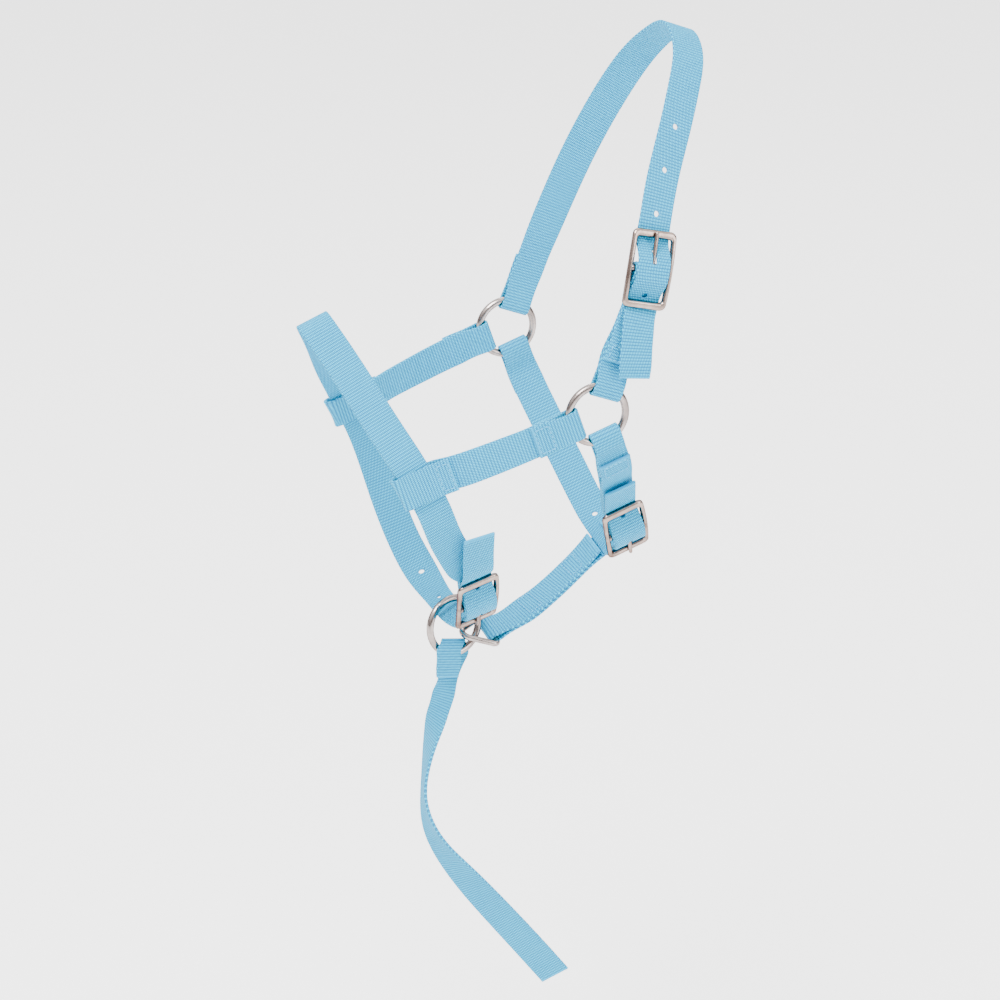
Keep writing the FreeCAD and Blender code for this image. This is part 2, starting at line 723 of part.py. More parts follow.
# The jaw strap is one band: round the throat strap at its rear end, round the dee in front.
JAW_FRONT_AHEAD = square_to_dee(Vector(0.1, -0.93, -0.36))
JAW_STRAIGHT = 12.0
JAW_TWIST = 0.16
JAW_LEAVES = JAW_REAR + JAW_REAR_AHEAD * JAW_STRAIGHT
jaw_pull = (DEE_BASE - JAW_LEAVES).Length * 0.4
jaw_curve = Part.BezierCurve()
jaw_curve.setPoles(
    [
        JAW_LEAVES,
        JAW_LEAVES + JAW_REAR_AHEAD * jaw_pull,
        DEE_BASE - JAW_FRONT_AHEAD * jaw_pull,
        DEE_BASE,
    ]
)
JAW_LONG = JAW_STRAIGHT + jaw_curve.length()
jaw_turn = 2.4
jaw_front_fold = size("dee_wire") / 2 + GAP + THICK / 2
jaw_rear = WIDTH / 2 + 0.6
jaw_under = [(15, -1.5), (21, -1.0), (32, -0.98), (44, -0.98), (56, -0.98), (68, -1.0)]
jaw_over = [(ahead, -up) for ahead, up in jaw_under[::-1]]
jaw_plan = (
    [(0, jaw_turn), (-6, jaw_turn)]
    + arc_points((-jaw_rear, 0), jaw_turn, 90, 270, 4)
    + [(-4, -jaw_turn), (4, -jaw_turn), (9, -jaw_turn)]
    + jaw_under
    + [(JAW_LONG - 6.5, -1.7)]
    + arc_points((JAW_LONG, 0), jaw_front_fold, 270, 450, 6)
    + [(JAW_LONG - 6.5, 1.7)]
    + jaw_over
    + [(9.5, jaw_turn)]
)


def jaw_line(ahead):
    """The middle of the jaw strap and its direction, at a distance from its rear loop."""
    if ahead <= JAW_STRAIGHT:
        return JAW_REAR + JAW_REAR_AHEAD * ahead, JAW_REAR_AHEAD
    if ahead >= JAW_LONG:
        return DEE_BASE + JAW_FRONT_AHEAD * (ahead - JAW_LONG), JAW_FRONT_AHEAD
    parameter = (ahead - JAW_STRAIGHT) / (JAW_LONG - JAW_STRAIGHT)
    return jaw_curve.value(parameter), jaw_curve.tangent(parameter)[0]


def jaw_stations():
    stations = []
    for ahead, up in jaw_plan:
        middle, heading = jaw_line(ahead)
        turn = min(max((ahead - JAW_STRAIGHT) / (JAW_LONG - JAW_STRAIGHT), 0), 1)
        across = JAW_REAR_ACROSS * (1 - turn) + DEE_ACROSS * turn
        across = across + Vector(0, 0, JAW_TWIST * math.sin(math.pi * turn))
        across = (across - heading * across.dot(heading)).normalize()
        rise = heading.cross(across)
        narrow = min(max((ahead - JAW_LONG + 22) / 14, 0), 1)
        width = WIDTH - (WIDTH - JAW_NARROW) * narrow
        stations.append((middle + rise * up, across, width))
    return stations


jaw_band = jaw_stations()
add_shape("jaw_strap", ribbon(jaw_band))


# ---------------------------------------------------------------- grab strap

ring_down = (Vector(0, 0, -1) + CHIN_AXIS * CHIN_AXIS.z).normalize()
ring_pull = (ring_down + ring_down.cross(CHIN_AXIS) * 0.23).normalize()
ring_rear = CHIN_AXIS.cross(ring_pull)
HITCH_FOLD = WIRE / 2 + 0.5 + THICK / 2
HITCH_AT = 11.8


def hitch_station(across, down, slide, width):
    """A station of the hitch: across and down from the ring's centre, slid along its wire."""
    return (CHIN_CENTRE + CHIN_AXIS * across + ring_pull * down, ring_rear, width, slide)


# The hitch spreads along the wire: its front ply leaves the ring to one side, its rear ply
# to the other, and the two come together below.
grab_hitch = [hitch_station(1.3, 29.5, -1.2, 14.5), hitch_station(1.9, 24, -2.0, 15.5)]
grab_hitch += [hitch_station(3.3, 17.5, -3.2, 16)]
for step, (x, y) in enumerate(arc_points((0, 0), HITCH_FOLD, 0, 180, 6)):
    grab_hitch.append(hitch_station(x, HITCH_AT - y, -3.4 + 1.3 * step, 16))
grab_hitch += [hitch_station(-3.4, 16, 6.0, 16), hitch_station(-2.6, 21, 4.0, 15.5)]
grab_hitch += [hitch_station(-1.7, 26, 2.0, 14.0), hitch_station(-1.5, 31.5, 1.0, 13.0)]
grab_run = [
    ((6.8, -64.2, -182.5), (0.3, 0.95, -0.1), 12.5),
    ((6.0, -65.9, -189.5), (0.55, 0.83, 0.0), 12.5),
    ((4.9, -68.6, -199.5), (0.85, 0.5, 0.08), 14.5),
    ((3.8, -71.3, -211), (0.98, 0.15, 0.12), 17.0),
    ((3.2, -74.0, -226), (0.98, -0.1, 0.15), WIDTH),
    ((3.0, -75.5, -243), (0.95, -0.18, 0.26), WIDTH),
    ((3.0, -71.3, -270), (0.84, 0.06, 0.51), WIDTH),
    ((3.0, -56.0, -297), (0.66, 0.4, 0.6), WIDTH),
    ((3.0, -33.0, -328), (0.42, 0.55, 0.7), WIDTH),
    ((3.0, -8.0, -361), (0.35, 0.6, 0.7), WIDTH),
    ((3.0, 4.2, -377.5), (0.35, 0.62, 0.68), WIDTH),
]
grab_stations = grab_hitch + [(Vector(*p), Vector(*w), width) for p, w, width in grab_run]
add_shape("grab_strap", ribbon(grab_stations))


# ---------------------------------------------------------------- stitching


def box_stitch(label, stations, first, last, outward, raised=0.0):
    """One closed box of thread, half sunk in the face of a strap between two stations."""
    centres = [station[0] for station in stations]
    heading = (centres[last] - centres[first]).normalize()
    across = stations[first][1] + stations[last][1]
    across = (across - heading * across.dot(heading)).normalize()
    normal = across.cross(heading)
    if normal.dot(outward) < 0:
        normal = normal * -1
    middle = centres[(first + last) // 2]
    bulge = (middle - (centres[first] + centres[last]) * 0.5).dot(normal)
    lift = normal * (THICK / 2 + bulge * 0.7 + raised)
    start = centres[first] + lift + heading * STITCH_MARGIN
    end = centres[last] + lift - heading * STITCH_MARGIN
    side = across * (stations[first][2] / 2 - STITCH_INSET)
    path = rounded_loop([start - side, start + side, end + side, end - side], [1.2] * 4)
    section = Part.makeCircle(size("thread_wide") / 2, start, across)
    add_shape(label, path.makePipeShell([Part.Wire(section)], True, False))


STITCH_MARGIN = 1.2
STITCH_INSET = 2.6
NEAR_SIDE = Vector(1, 0, 0)
FAR_SIDE = Vector(-1, 0, 0)
jaw_over_first = len(jaw_plan) - 1 - len(jaw_over)
box_stitch("crown_tab_stitching", TABS["crown_buckle_tab"], 0, 1, NEAR_SIDE, 0.25)
box_stitch("crown_ring_stitching", crown_stations, 0, 2, FAR_SIDE)
box_stitch("throat_tab_stitching", TABS["throat_buckle_tab"], 0, 1, NEAR_SIDE, 0.25)
box_stitch("throat_ring_stitching", throat_stations, 0, 2, FAR_SIDE)
box_stitch("cheek_ring_stitching_near", cheek_near, 0, 2, NEAR_SIDE)
box_stitch("cheek_ring_stitching_far", cheek_far, 0, 2, FAR_SIDE)
box_stitch("cheek_tunnel_stitching_near", cheek_near, -3, -1, NEAR_SIDE)
box_stitch("cheek_tunnel_stitching_far", cheek_far, -3, -1, FAR_SIDE)
box_stitch("jaw_front_stitching", jaw_band, jaw_over_first, jaw_over_first + 1, Vector(0, 0, 1))
box_stitch("jaw_rear_stitching", jaw_band, -4, -3, Vector(0, 0, 1))
box_stitch("noseband_stitching", nose_stations, 0, 1, nose_buckle.outward * -1)


# ---------------------------------------------------------------- checks and files

doc.recompute()
for item in doc.Objects:
    if "Invalid" in item.State or "Error" in item.State:
        raise RuntimeError(f"{item.Name} failed: {item.State}")
os.makedirs("parts", exist_ok=True)
for label, piece in PIECES.items():
    shape = piece.Shape
    if shape.isNull() or not shape.isValid() or shape.Volume <= 0:
        raise RuntimeError(f"{label} has no sound shape")
    shape.exportStep(f"parts/{label}.step")
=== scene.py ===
import math

import bpy
import numpy as np
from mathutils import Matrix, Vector


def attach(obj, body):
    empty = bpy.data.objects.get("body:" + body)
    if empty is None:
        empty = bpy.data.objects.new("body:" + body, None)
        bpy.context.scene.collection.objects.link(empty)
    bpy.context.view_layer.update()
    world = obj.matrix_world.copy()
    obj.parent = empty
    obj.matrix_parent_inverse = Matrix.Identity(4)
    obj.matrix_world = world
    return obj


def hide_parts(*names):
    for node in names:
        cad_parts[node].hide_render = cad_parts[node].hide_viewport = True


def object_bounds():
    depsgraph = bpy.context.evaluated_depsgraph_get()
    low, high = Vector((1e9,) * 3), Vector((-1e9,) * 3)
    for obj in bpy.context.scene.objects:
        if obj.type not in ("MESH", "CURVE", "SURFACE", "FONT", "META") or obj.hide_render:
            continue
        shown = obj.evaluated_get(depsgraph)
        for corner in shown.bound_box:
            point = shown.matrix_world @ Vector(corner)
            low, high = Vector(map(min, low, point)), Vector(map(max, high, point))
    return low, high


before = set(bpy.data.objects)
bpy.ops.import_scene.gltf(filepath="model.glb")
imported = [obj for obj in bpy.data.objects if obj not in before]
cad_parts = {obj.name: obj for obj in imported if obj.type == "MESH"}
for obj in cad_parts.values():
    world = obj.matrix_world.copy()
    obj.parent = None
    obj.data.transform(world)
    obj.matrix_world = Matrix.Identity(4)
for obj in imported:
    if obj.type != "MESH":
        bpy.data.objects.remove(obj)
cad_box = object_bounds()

# A foal halter of light blue nylon webbing. The layout below is the CAD model's own: millimetres
# from the line through both cheek rings, +X the foal's near side, -Y the nose. to_frame() moves it
# to the poll seat and makes it metres.

WIDTH, THICK, GAP = 18.5, 1.8, 0.15
PLY = THICK + GAP
BUNCHED, CHIN_BUNCHED = WIDTH - 1.7, WIDTH - 3.1
BUNCH_END, BUNCH_FADE = 20, 10
SPAN, RING_R, RING_WIRE = 77.0, 16.0, 4.0
PIN_R, TONGUE_WIRE, TONGUE_REACH = 1.5, 2.3, 20.2
RING_FOLD = RING_WIRE / 2 + GAP + THICK / 2
PIN_FOLD = PIN_R + GAP + THICK / 2
LOOP_R = PIN_R + 0.1 + TONGUE_WIRE / 2
FOLD_AT = math.sqrt((RING_R - RING_WIRE / 2) ** 2 - (BUNCHED / 2) ** 2) - GAP + RING_FOLD - THICK / 2
FRAME_LONG, FRAME_WIDE, FRAME_BAR = 42.0, 24.6, 4.0
FRAME_THICK, FRAME_ARCH = 3.0, 1.2
BAR_AT = (FRAME_LONG - FRAME_BAR) / 2
UNDER_BAR = -(FRAME_THICK / 2 + FRAME_ARCH + GAP + THICK / 2)
OVER_PIN = LOOP_R + TONGUE_WIRE / 2 + GAP + THICK / 2
HOLE_R, HOLE_PITCH, HOLE_AT = 1.7, 24.0, -8.0
X_AXIS = Vector((1, 0, 0))


def clamped(value):
    return min(max(value, 0), 1)


def bunched_width(reach):
    """A strap is narrower where it bunches in a ring, and its full width further out."""
    return BUNCHED + (WIDTH - BUNCHED) * clamped((reach - BUNCH_END) / BUNCH_FADE)


class Plane:
    """A layout plane that holds the X axis: points are (x, reach, drift)."""

    def __init__(self, along, across):
        self.along = along
        self.across = across

    def point(self, x, reach, drift=0.0):
        return Vector((x, 0, 0)) + self.along * reach + self.across * drift

    def stations(self, points):
        return [(self.point(*p), self.across, bunched_width(p[1])) for p in points]


def lean_plane(lean, rise):
    """The plane of a strap that rises or falls from the rings, leaning back from upright."""
    along = Vector((0, math.sin(math.radians(lean)), rise * math.cos(math.radians(lean))))
    return Plane(along, X_AXIS.cross(along))


CROWN = lean_plane(21.0, 1)
THROAT = lean_plane(20.0, -1)
DROP = math.radians(19.1)
CHEEK_DOWN = Vector((0, -math.cos(DROP), -math.sin(DROP)))
CHEEK = Plane(CHEEK_DOWN, X_AXIS.cross(CHEEK_DOWN))
CREST = 200.0
SEAT = CROWN.point(0, CREST - THICK / 2)


def arc_points(centre, radius, start, end, steps):
    turns = [math.radians(start + (end - start) * k / steps) for k in range(steps + 1)]
    return [(centre[0] + radius * math.cos(a), centre[1] + radius * math.sin(a)) for a in turns]


class Buckle:
    """A centre-bar buckle: its pin, the way to the strap's source, and outward."""

    def __init__(self, pin, source, outward):
        self.pin = pin
        self.source = source.normalized()
        self.outward = (outward - self.source * outward.dot(self.source)).normalized()
        self.side = self.outward.cross(self.source)

    def point(self, along, out):
        return self.pin + self.source * along + self.outward * out

    def wave(self):
        """The strap's way through the frame: under an end bar, over the pin, under the other."""
        middle, swing = (OVER_PIN + UNDER_BAR) / 2, (OVER_PIN - UNDER_BAR) / 2
        slopes = [(1, -1), (0.75, -0.76), (0.5, 0.15), (0.25, 0.86)]
        crest = slopes + [(0, 1)] + [(-along, height) for along, height in slopes[::-1]]
        return [self.point(BAR_AT * along, middle + swing * height) for along, height in crest]

    def tab(self):
        """The tab's way: in under an end bar, round the pin, and back beneath itself."""
        outer = [(-BAR_AT, UNDER_BAR - PLY), (-14, -4.7), (-9, -2.0), (-4.5, 0.9)]
        inner = [(-4.5, -3.1), (-9, -4.7), (-14, -6.8), (-BAR_AT, UNDER_BAR - 2 * PLY - 0.1)]
        return [self.point(*p) for p in outer + arc_points((0, 0), PIN_FOLD, 90, -90, 4) + inner]


def in_plane_buckle(plane, pin, source):
    return Buckle(plane.point(*pin), plane.point(*source), X_AXIS)


crown_buckle = in_plane_buckle(CROWN, (73.5, 82.1, -0.65), (-0.178, 0.974, 0.138))
throat_buckle = in_plane_buckle(THROAT, (42.0, 89.0), (-0.521, 0.853))
nose_buckle = Buckle(Vector((43, -56, -115)), Vector((-0.57, 0.14, -0.81)), Vector((0.82, 0.23, -0.53)))


def ring_fold(ring_x, inner_side):
    """A strap's turn round a ring's wire, from its outer ply to its inner ply."""
    start, end = (180, 360) if inner_side > 0 else (360, 180)
    turn = arc_points((ring_x, FOLD_AT), RING_FOLD, start, end, 6)
    outer = (ring_x - inner_side * RING_FOLD, RING_R)
    return [outer] + turn + [(ring_x + inner_side * RING_FOLD, RING_R)]


# ---------------------------------------------------------------- strap routes

crown_end = [(-78.3, 42), (-78.3, 34), (-78.5, 26), (-79.5, 20.5)]
crown_start = [(-74.7, 20.5), (-76.0, 26), (-76.0, 34), (-75.8, 44), (-75.0, 57)]
crown_far = [(-72.5, 80), (-68, 106), (-60.5, 131), (-50, 155), (-36.5, 176), (-20, 191.5)]
crown_near = [(19.5, 191.5, -1.5), (33.5, 175.5, 0), (45, 155, 1.8), (54.5, 131, 2.9)]
crown_near += [(61.2, 115.5, 3.0), (64.8, 106.5, 2.6)]
crown_tail = [(75.3, 57.3, -3.5), (78.5, 49, -4.6), (81.2, 40, -6.2)]
crown_tail += [(82.8, 32, -8.2), (83.4, 25.5, -9.8)]
crown_plan = crown_end + ring_fold(-SPAN, 1) + crown_start + crown_far + [(0, CREST)] + crown_near
crown = CROWN.stations(crown_plan)
FAR_LEAN = (0.12, 0.3, 0.45, 0.5, 0.4, 0.22)
lean_first = crown_plan.index(crown_start[-1])
for index, lean in enumerate(FAR_LEAN, lean_first):
    centre, across, width = crown[index]
    crown[index] = (centre, (across - Vector((lean, 0, 0))).normalized(), width)
crown += [(p, crown_buckle.side, WIDTH) for p in crown_buckle.wave()] + CROWN.stations(crown_tail)
crown_pin = len(crown_plan) + 4


SEWN_OFFSET, FREE_OFFSET = 2.25, 1.1


def tab_stations(plane, buckle, middle):
    """A tab folded round a buckle's pin and a ring, its end sewn between the two plies."""

    def ply(offset, indexes):
        points = []
        for index in indexes:
            before, after = middle[max(index - 1, 0)], middle[min(index + 1, len(middle) - 1)]
            run = math.hypot(after[0] - before[0], after[1] - before[1])
            out = ((after[1] - before[1]) / run, (before[0] - after[0]) / run)
            gap = offset * (SEWN_OFFSET if index < 3 else FREE_OFFSET)
            x, reach, drift = middle[index]
            points.append((x + out[0] * gap, reach + out[1] * gap, drift))
        return points

    start = plane.stations(ply(1, range(1, len(middle))))
    wave = [(p, buckle.side, WIDTH) for p in buckle.tab()]
    home = ply(-1, range(len(middle) - 1, -1, -1)) + [(SPAN - RING_FOLD, 19.5)]
    fold = ring_fold(SPAN, 1) + [(SPAN + 2.4, 20.2)]
    return start + wave + plane.stations(home + fold + ply(0, range(3)))


crown_middle = [(77.1, 24.5, 0), (76.5, 29.5, 0), (75.6, 39, -0.6)]
crown_middle += [(74.2, 47, -1.6), (72.2, 54.5, -2.7)]
crown_tab = tab_stations(CROWN, crown_buckle, crown_middle)
throat_middle = [(76.9, 24.5, 0), (75.2, 28.5, 0), (70.2, 37.5, 0), (62.8, 47.5, 0), (55.8, 57, 0)]
throat_tab = tab_stations(THROAT, throat_buckle, throat_middle)

JAW_REAR = THROAT.point(-8, 111.6)
JAW_REAR_ACROSS = (Vector((0.975, 0, 0)) + THROAT.along * 0.22).normalized()
jaw_rear_ahead = Vector((0.1, -0.67, -0.73))
JAW_REAR_AHEAD = (jaw_rear_ahead - JAW_REAR_ACROSS * jaw_rear_ahead.dot(JAW_REAR_ACROSS)).normalized()

throat_end = [(-73.9, 39.5), (-76.0, 33.5), (-77.8, 27), (-79.3, 21)]
throat_start = [(-74.5, 21), (-75.6, 27), (-73.8, 33.5), (-71.5, 39.5), (-66.5, 48.5)]
throat_far = [(-59, 60.5), (-50.5, 74), (-42, 87.5), (-34, 98.5), (-26.5, 105.7)]
throat_low = [(-17.7, 109.4), (-8, 111.6), (1.8, 113.8)]
throat_near = [(10.5, 113.6), (20.5, 109.6)]
throat_tail = [(51.6, 67.8), (56.0, 62.9), (61.2, 57.2), (66.4, 51.4)]
throat = THROAT.stations(throat_end + ring_fold(-SPAN, 1) + throat_start + throat_far)
throat += [(THROAT.point(*p), JAW_REAR_AHEAD * -1, WIDTH) for p in throat_low]
throat += THROAT.stations(throat_near)
throat_pin = len(throat) + 4
throat += [(p, THROAT.across, WIDTH) for p in throat_buckle.wave()] + THROAT.stations(throat_tail)

NOSE_HEADING = Vector((0.22, 0.43, -0.87))
TUNNEL_X, TUNNEL_REACH, TUNNEL_HALF = 66.5, 101.0, 2.2
cheek_end = [(78.2, 37), (78.2, 31), (78.4, 26), (79.5, 20.5)]
cheek_run = [(75.0, 20.5), (76.2, 26), (76.2, 31), (76.1, 37), (74.9, 50), (73.2, 62), (71.3, 73)]
cheek_dip = [(69.4, 80), (67.1, 85), (65.0, 89.6)]
cheek_cut = [(68.9, 91.5), (69.6, 87), (70.5, 82.5)]
tunnel = [(TUNNEL_X - TUNNEL_HALF, TUNNEL_REACH + shift) for shift in (-7, 0, 6)]
tunnel += arc_points((TUNNEL_X, TUNNEL_REACH + WIDTH / 2 + 0.5), TUNNEL_HALF, 180, 0, 4)
tunnel += [(TUNNEL_X + TUNNEL_HALF, TUNNEL_REACH + shift) for shift in (6, 0, -5)]
cheek_plan = cheek_end + ring_fold(SPAN, -1) + cheek_run + cheek_dip + tunnel + cheek_cut


CHEEK_TURN = 40


def cheek_stations(side):
    """A cheek strap, turning from its own plane to lie square across the noseband."""
    stations = []
    for x, reach in cheek_plan:
        turn = clamped((reach - CHEEK_TURN) / CHEEK_TURN)
        across = CHEEK.across * (1 - turn) + NOSE_HEADING * turn
        across = Vector((side * across.x, across.y, across.z))
        stations.append((CHEEK.point(side * x, reach), across, bunched_width(reach)))
    return stations


NOSE_ACROSS = Vector((0, 0.92, 0.39))
nose_side = [
    (50.0, -110.5, -4),
    (58.2, -104.8, -14.6),
    (64.2, -99.9, -23.9),
    (66.5, -95.4, -33.0),
    (68.8, -90.9, -42.1),
    (69.4, -86.8, -52.0),
]
nose_rise = [(56.5, -67.5, -88), (62.5, -75.5, -76), (67.4, -82.2, -63.5)]
nose_rise += nose_side[::-1] + [(34.0, -119, 13), (17.0, -127.5, 29.5), (0, -134.5, 42)]
nose_fall = [(-17.0, -127.5, 29.5), (-34.0, -119, 13)] + [(-x, y, z) for x, y, z in nose_side]
nose_fall += [(-70.0, -80.5, -71), (-66.0, -74.5, -93), (-55.0, -68.5, -114), (-38.0, -63, -128.5)]
nose_chin = [(-19.0, -60, -134.8), (0, -58.5, -136.2), (9, -57.5, -136.2), (24, -55.3, -133.3)]
nose_tail = [(59.2, -61.0, -91.5), (64.8, -62.5, -80.5), (70.2, -63.7, -65.0)]
nose_tab = nose_buckle.tab()
nose_return = nose_tab[-1] - nose_buckle.source * 9 - nose_buckle.outward * 0.2
nose = [(p, nose_buckle.side, WIDTH) for p in [nose_return] + nose_tab[::-1]]
nose += [(Vector(p), NOSE_ACROSS, WIDTH) for p in nose_rise + nose_fall]
nose += [(Vector(p), NOSE_ACROSS, CHIN_BUNCHED) for p in nose_chin]
nose_pin = len(nose) + 4
nose += [(p, nose_buckle.side, WIDTH) for p in nose_buckle.wave()]
nose += [(Vector(p), Vector((-0.1, 0.97, 0.25)), WIDTH) for p in nose_tail]

DEE_WIRE, DEE_HALF, DEE_HIGH = 3.4, 11.8, 20.0
DEE_BASE = Vector((-2.0, -34.5, -153.3))
DEE_ACROSS = Vector((0.9, 0.2, -0.38)).normalized()


def square_to_dee(heading):
    """A heading made square to the dee's foot."""
    return (heading - DEE_ACROSS * heading.dot(DEE_ACROSS)).normalized()


DEE_AHEAD = square_to_dee(Vector((0.2, -0.96, 0.18)))
JAW_FRONT_AHEAD = square_to_dee(Vector((0.1, -0.93, -0.36)))
JAW_STRAIGHT, JAW_TWIST, JAW_NARROW = 12.0, 0.16, 14.4
JAW_LEAVES = JAW_REAR + JAW_REAR_AHEAD * JAW_STRAIGHT
jaw_pull = (DEE_BASE - JAW_LEAVES).length * 0.4
jaw_poles = [
    JAW_LEAVES,
    JAW_LEAVES + JAW_REAR_AHEAD * jaw_pull,
    DEE_BASE - JAW_FRONT_AHEAD * jaw_pull,
    DEE_BASE,
]


def bezier(poles, t):
    """A point on a cubic curve, and its heading there."""
    a, b, c, d = poles
    s = 1 - t
    point = a * s**3 + b * (3 * s * s * t) + c * (3 * s * t * t) + d * t**3
    return point, ((b - a) * (s * s) + (c - b) * (2 * s * t) + (d - c) * (t * t)).normalized()


jaw_samples = [bezier(jaw_poles, k / 60)[0] for k in range(61)]
JAW_LONG = JAW_STRAIGHT + sum((b - a).length for a, b in zip(jaw_samples, jaw_samples[1:]))
JAW_TURN = 2.4
JAW_LOOP = WIDTH / 2 + 0.6
jaw_fold = DEE_WIRE / 2 + GAP + THICK / 2
jaw_under = [(15, -1.5), (21, -1.0), (32, -0.98), (44, -0.98), (56, -0.98), (68, -1.0)]
jaw_over = [(ahead, -up) for ahead, up in jaw_under[::-1]]
jaw_plan = [(0, JAW_TURN), (-6, JAW_TURN)] + arc_points((-JAW_LOOP, 0), JAW_TURN, 90, 270, 4)
jaw_plan += [(-4, -JAW_TURN), (4, -JAW_TURN), (9, -JAW_TURN)] + jaw_under + [(JAW_LONG - 6.5, -1.7)]
jaw_plan += arc_points((JAW_LONG, 0), jaw_fold, 270, 450, 6)
jaw_plan += [(JAW_LONG - 6.5, 1.7)] + jaw_over + [(9.5, JAW_TURN)]
jaw = []
for ahead, up in jaw_plan:
    turn = clamped((ahead - JAW_STRAIGHT) / (JAW_LONG - JAW_STRAIGHT))
    middle, heading = JAW_REAR + JAW_REAR_AHEAD * ahead, JAW_REAR_AHEAD
    if ahead >= JAW_LONG:
        middle, heading = DEE_BASE + JAW_FRONT_AHEAD * (ahead - JAW_LONG), JAW_FRONT_AHEAD
    elif ahead > JAW_STRAIGHT:
        middle, heading = bezier(jaw_poles, turn)
    across = JAW_REAR_ACROSS * (1 - turn) + DEE_ACROSS * turn
    across = across + Vector((0, 0, JAW_TWIST * math.sin(math.pi * turn)))
    across = (across - heading * across.dot(heading)).normalized()
    narrow = clamped((ahead - JAW_LONG + 22) / 14)
    jaw.append((middle + heading.cross(across) * up, across, WIDTH - (WIDTH - JAW_NARROW) * narrow))

CHIN_CENTRE = Vector((3.0, -57.0, -144.9))
CHIN_AXIS = Vector((0.955, 0.27, 0.12)).normalized()
ring_down = (Vector((0, 0, -1)) + CHIN_AXIS * CHIN_AXIS.z).normalized()
ring_pull = (ring_down + ring_down.cross(CHIN_AXIS) * 0.23).normalized()
ring_rear = CHIN_AXIS.cross(ring_pull)
HITCH_FOLD = RING_WIRE / 2 + 0.5 + THICK / 2
HITCH_AT = 11.8


def hitch(across, down, slide, width):
    """A station of the grab strap's turn round the chin ring, slid along its own width."""
    return (CHIN_CENTRE + CHIN_AXIS * across + ring_pull * down, ring_rear, width, slide)


grab = [hitch(1.3, 29.5, -1.2, 14.5), hitch(1.9, 24, -2.0, 15.5), hitch(3.3, 17.5, -3.2, 16)]
for step, (x, y) in enumerate(arc_points((0, 0), HITCH_FOLD, 0, 180, 6)):
    grab.append(hitch(x, HITCH_AT - y, -3.4 + 1.3 * step, 16))
grab += [hitch(-3.4, 16, 6.0, 16), hitch(-2.6, 21, 4.0, 15.5)]
grab += [hitch(-1.7, 26, 2.0, 14.0), hitch(-1.5, 31.5, 1.0, 13.0)]
grab_run = [
    ((6.8, -64.2, -182.5), (0.3, 0.95, -0.1), 12.5),
    ((6.0, -65.9, -189.5), (0.55, 0.83, 0.0), 12.5),
    ((4.9, -68.6, -199.5), (0.85, 0.5, 0.08), 14.5),
    ((3.8, -71.3, -211), (0.98, 0.15, 0.12), 17.0),
    ((3.2, -74.0, -226), (0.98, -0.1, 0.15), WIDTH),
    ((3.0, -75.5, -243), (0.95, -0.18, 0.26), WIDTH),
    ((3.0, -71.3, -270), (0.84, 0.06, 0.51), WIDTH),
    ((3.0, -56.0, -297), (0.66, 0.4, 0.6), WIDTH),
    ((3.0, -33.0, -328), (0.42, 0.55, 0.7), WIDTH),
    ((3.0, -8.0, -361), (0.35, 0.6, 0.7), WIDTH),
    ((3.0, 4.2, -377.5), (0.35, 0.62, 0.68), WIDTH),
]
grab += [(Vector(p), Vector(w), width) for p, w, width in grab_run]


# ---------------------------------------------------------------- ribbons


LENGTH_SAMPLES = 6000


class Ribbon:
    """A smooth strap through stations, read at a distance along it."""

    def __init__(self, stations):
        centres = [s[0] for s in stations]
        knots = [0.0]
        for a, b in zip(centres, centres[1:]):
            knots.append(knots[-1] + (b - a).length)
        rows = []
        for index, (centre, across, width, *slide) in enumerate(stations):
            heading = self.heading(centres, index)
            side = (across - heading * across.dot(heading)).normalized()
            normal = side.cross(heading)
            centre = centre + side * sum(slide)
            rows.append([*centre, *(side * (width / 2)), *(normal * (THICK / 2))])
        self.knots = np.array(knots)
        self.rows = np.array(rows)
        self.bends = natural_bends(self.knots, self.rows)
        fine = np.linspace(0, knots[-1], LENGTH_SAMPLES)
        points = self.at_knot(fine)[:, :3]
        steps = np.linalg.norm(np.diff(points, axis=0), axis=1)
        self.fine = fine
        self.run = np.concatenate([[0], np.cumsum(steps)])
        self.length = float(self.run[-1])

    @staticmethod
    def heading(centres, index):
        """The way through a station, which leans to its nearer neighbour."""
        here = centres[index]
        if index == 0:
            return (centres[1] - here).normalized()
        if index == len(centres) - 1:
            return (here - centres[-2]).normalized()
        back, ahead = here - centres[index - 1], centres[index + 1] - here
        weighted = back * (ahead.length / back.length) + ahead * (back.length / ahead.length)
        return weighted.normalized()

    def at_knot(self, t):
        """Centre, half-width vector and half-thickness vector, in a row, at spline parameters."""
        k = np.clip(np.searchsorted(self.knots, t) - 1, 0, len(self.knots) - 2)
        h = self.knots[k + 1] - self.knots[k]
        a = ((self.knots[k + 1] - t) / h)[:, None]
        b = 1 - a
        scale = (h * h / 6)[:, None]
        curve = ((a**3 - a) * self.bends[k] + (b**3 - b) * self.bends[k + 1]) * scale
        return a * self.rows[k] + b * self.rows[k + 1] + curve

    def at(self, distance):
        """Centre, half-width vector and half-thickness vector at distances along the strap."""
        read = self.at_knot(np.interp(distance, self.run, self.fine))
        return read[:, :3], read[:, 3:6], read[:, 6:9]

    def station(self, index):
        """The distance along the strap at one of its stations."""
        return float(np.interp(self.knots[index], self.fine, self.run))


def natural_bends(knots, rows):
    """Second derivatives of the natural cubic spline through rows."""
    count = len(knots)
    h = np.diff(knots)
    matrix = np.eye(count)
    right = np.zeros_like(rows)
    for k in range(1, count - 1):
        matrix[k, k - 1 : k + 2] = h[k - 1], 2 * (h[k - 1] + h[k]), h[k]
        right[k] = 6 * ((rows[k + 1] - rows[k]) / h[k] - (rows[k] - rows[k - 1]) / h[k - 1])
    return np.linalg.solve(matrix, right)


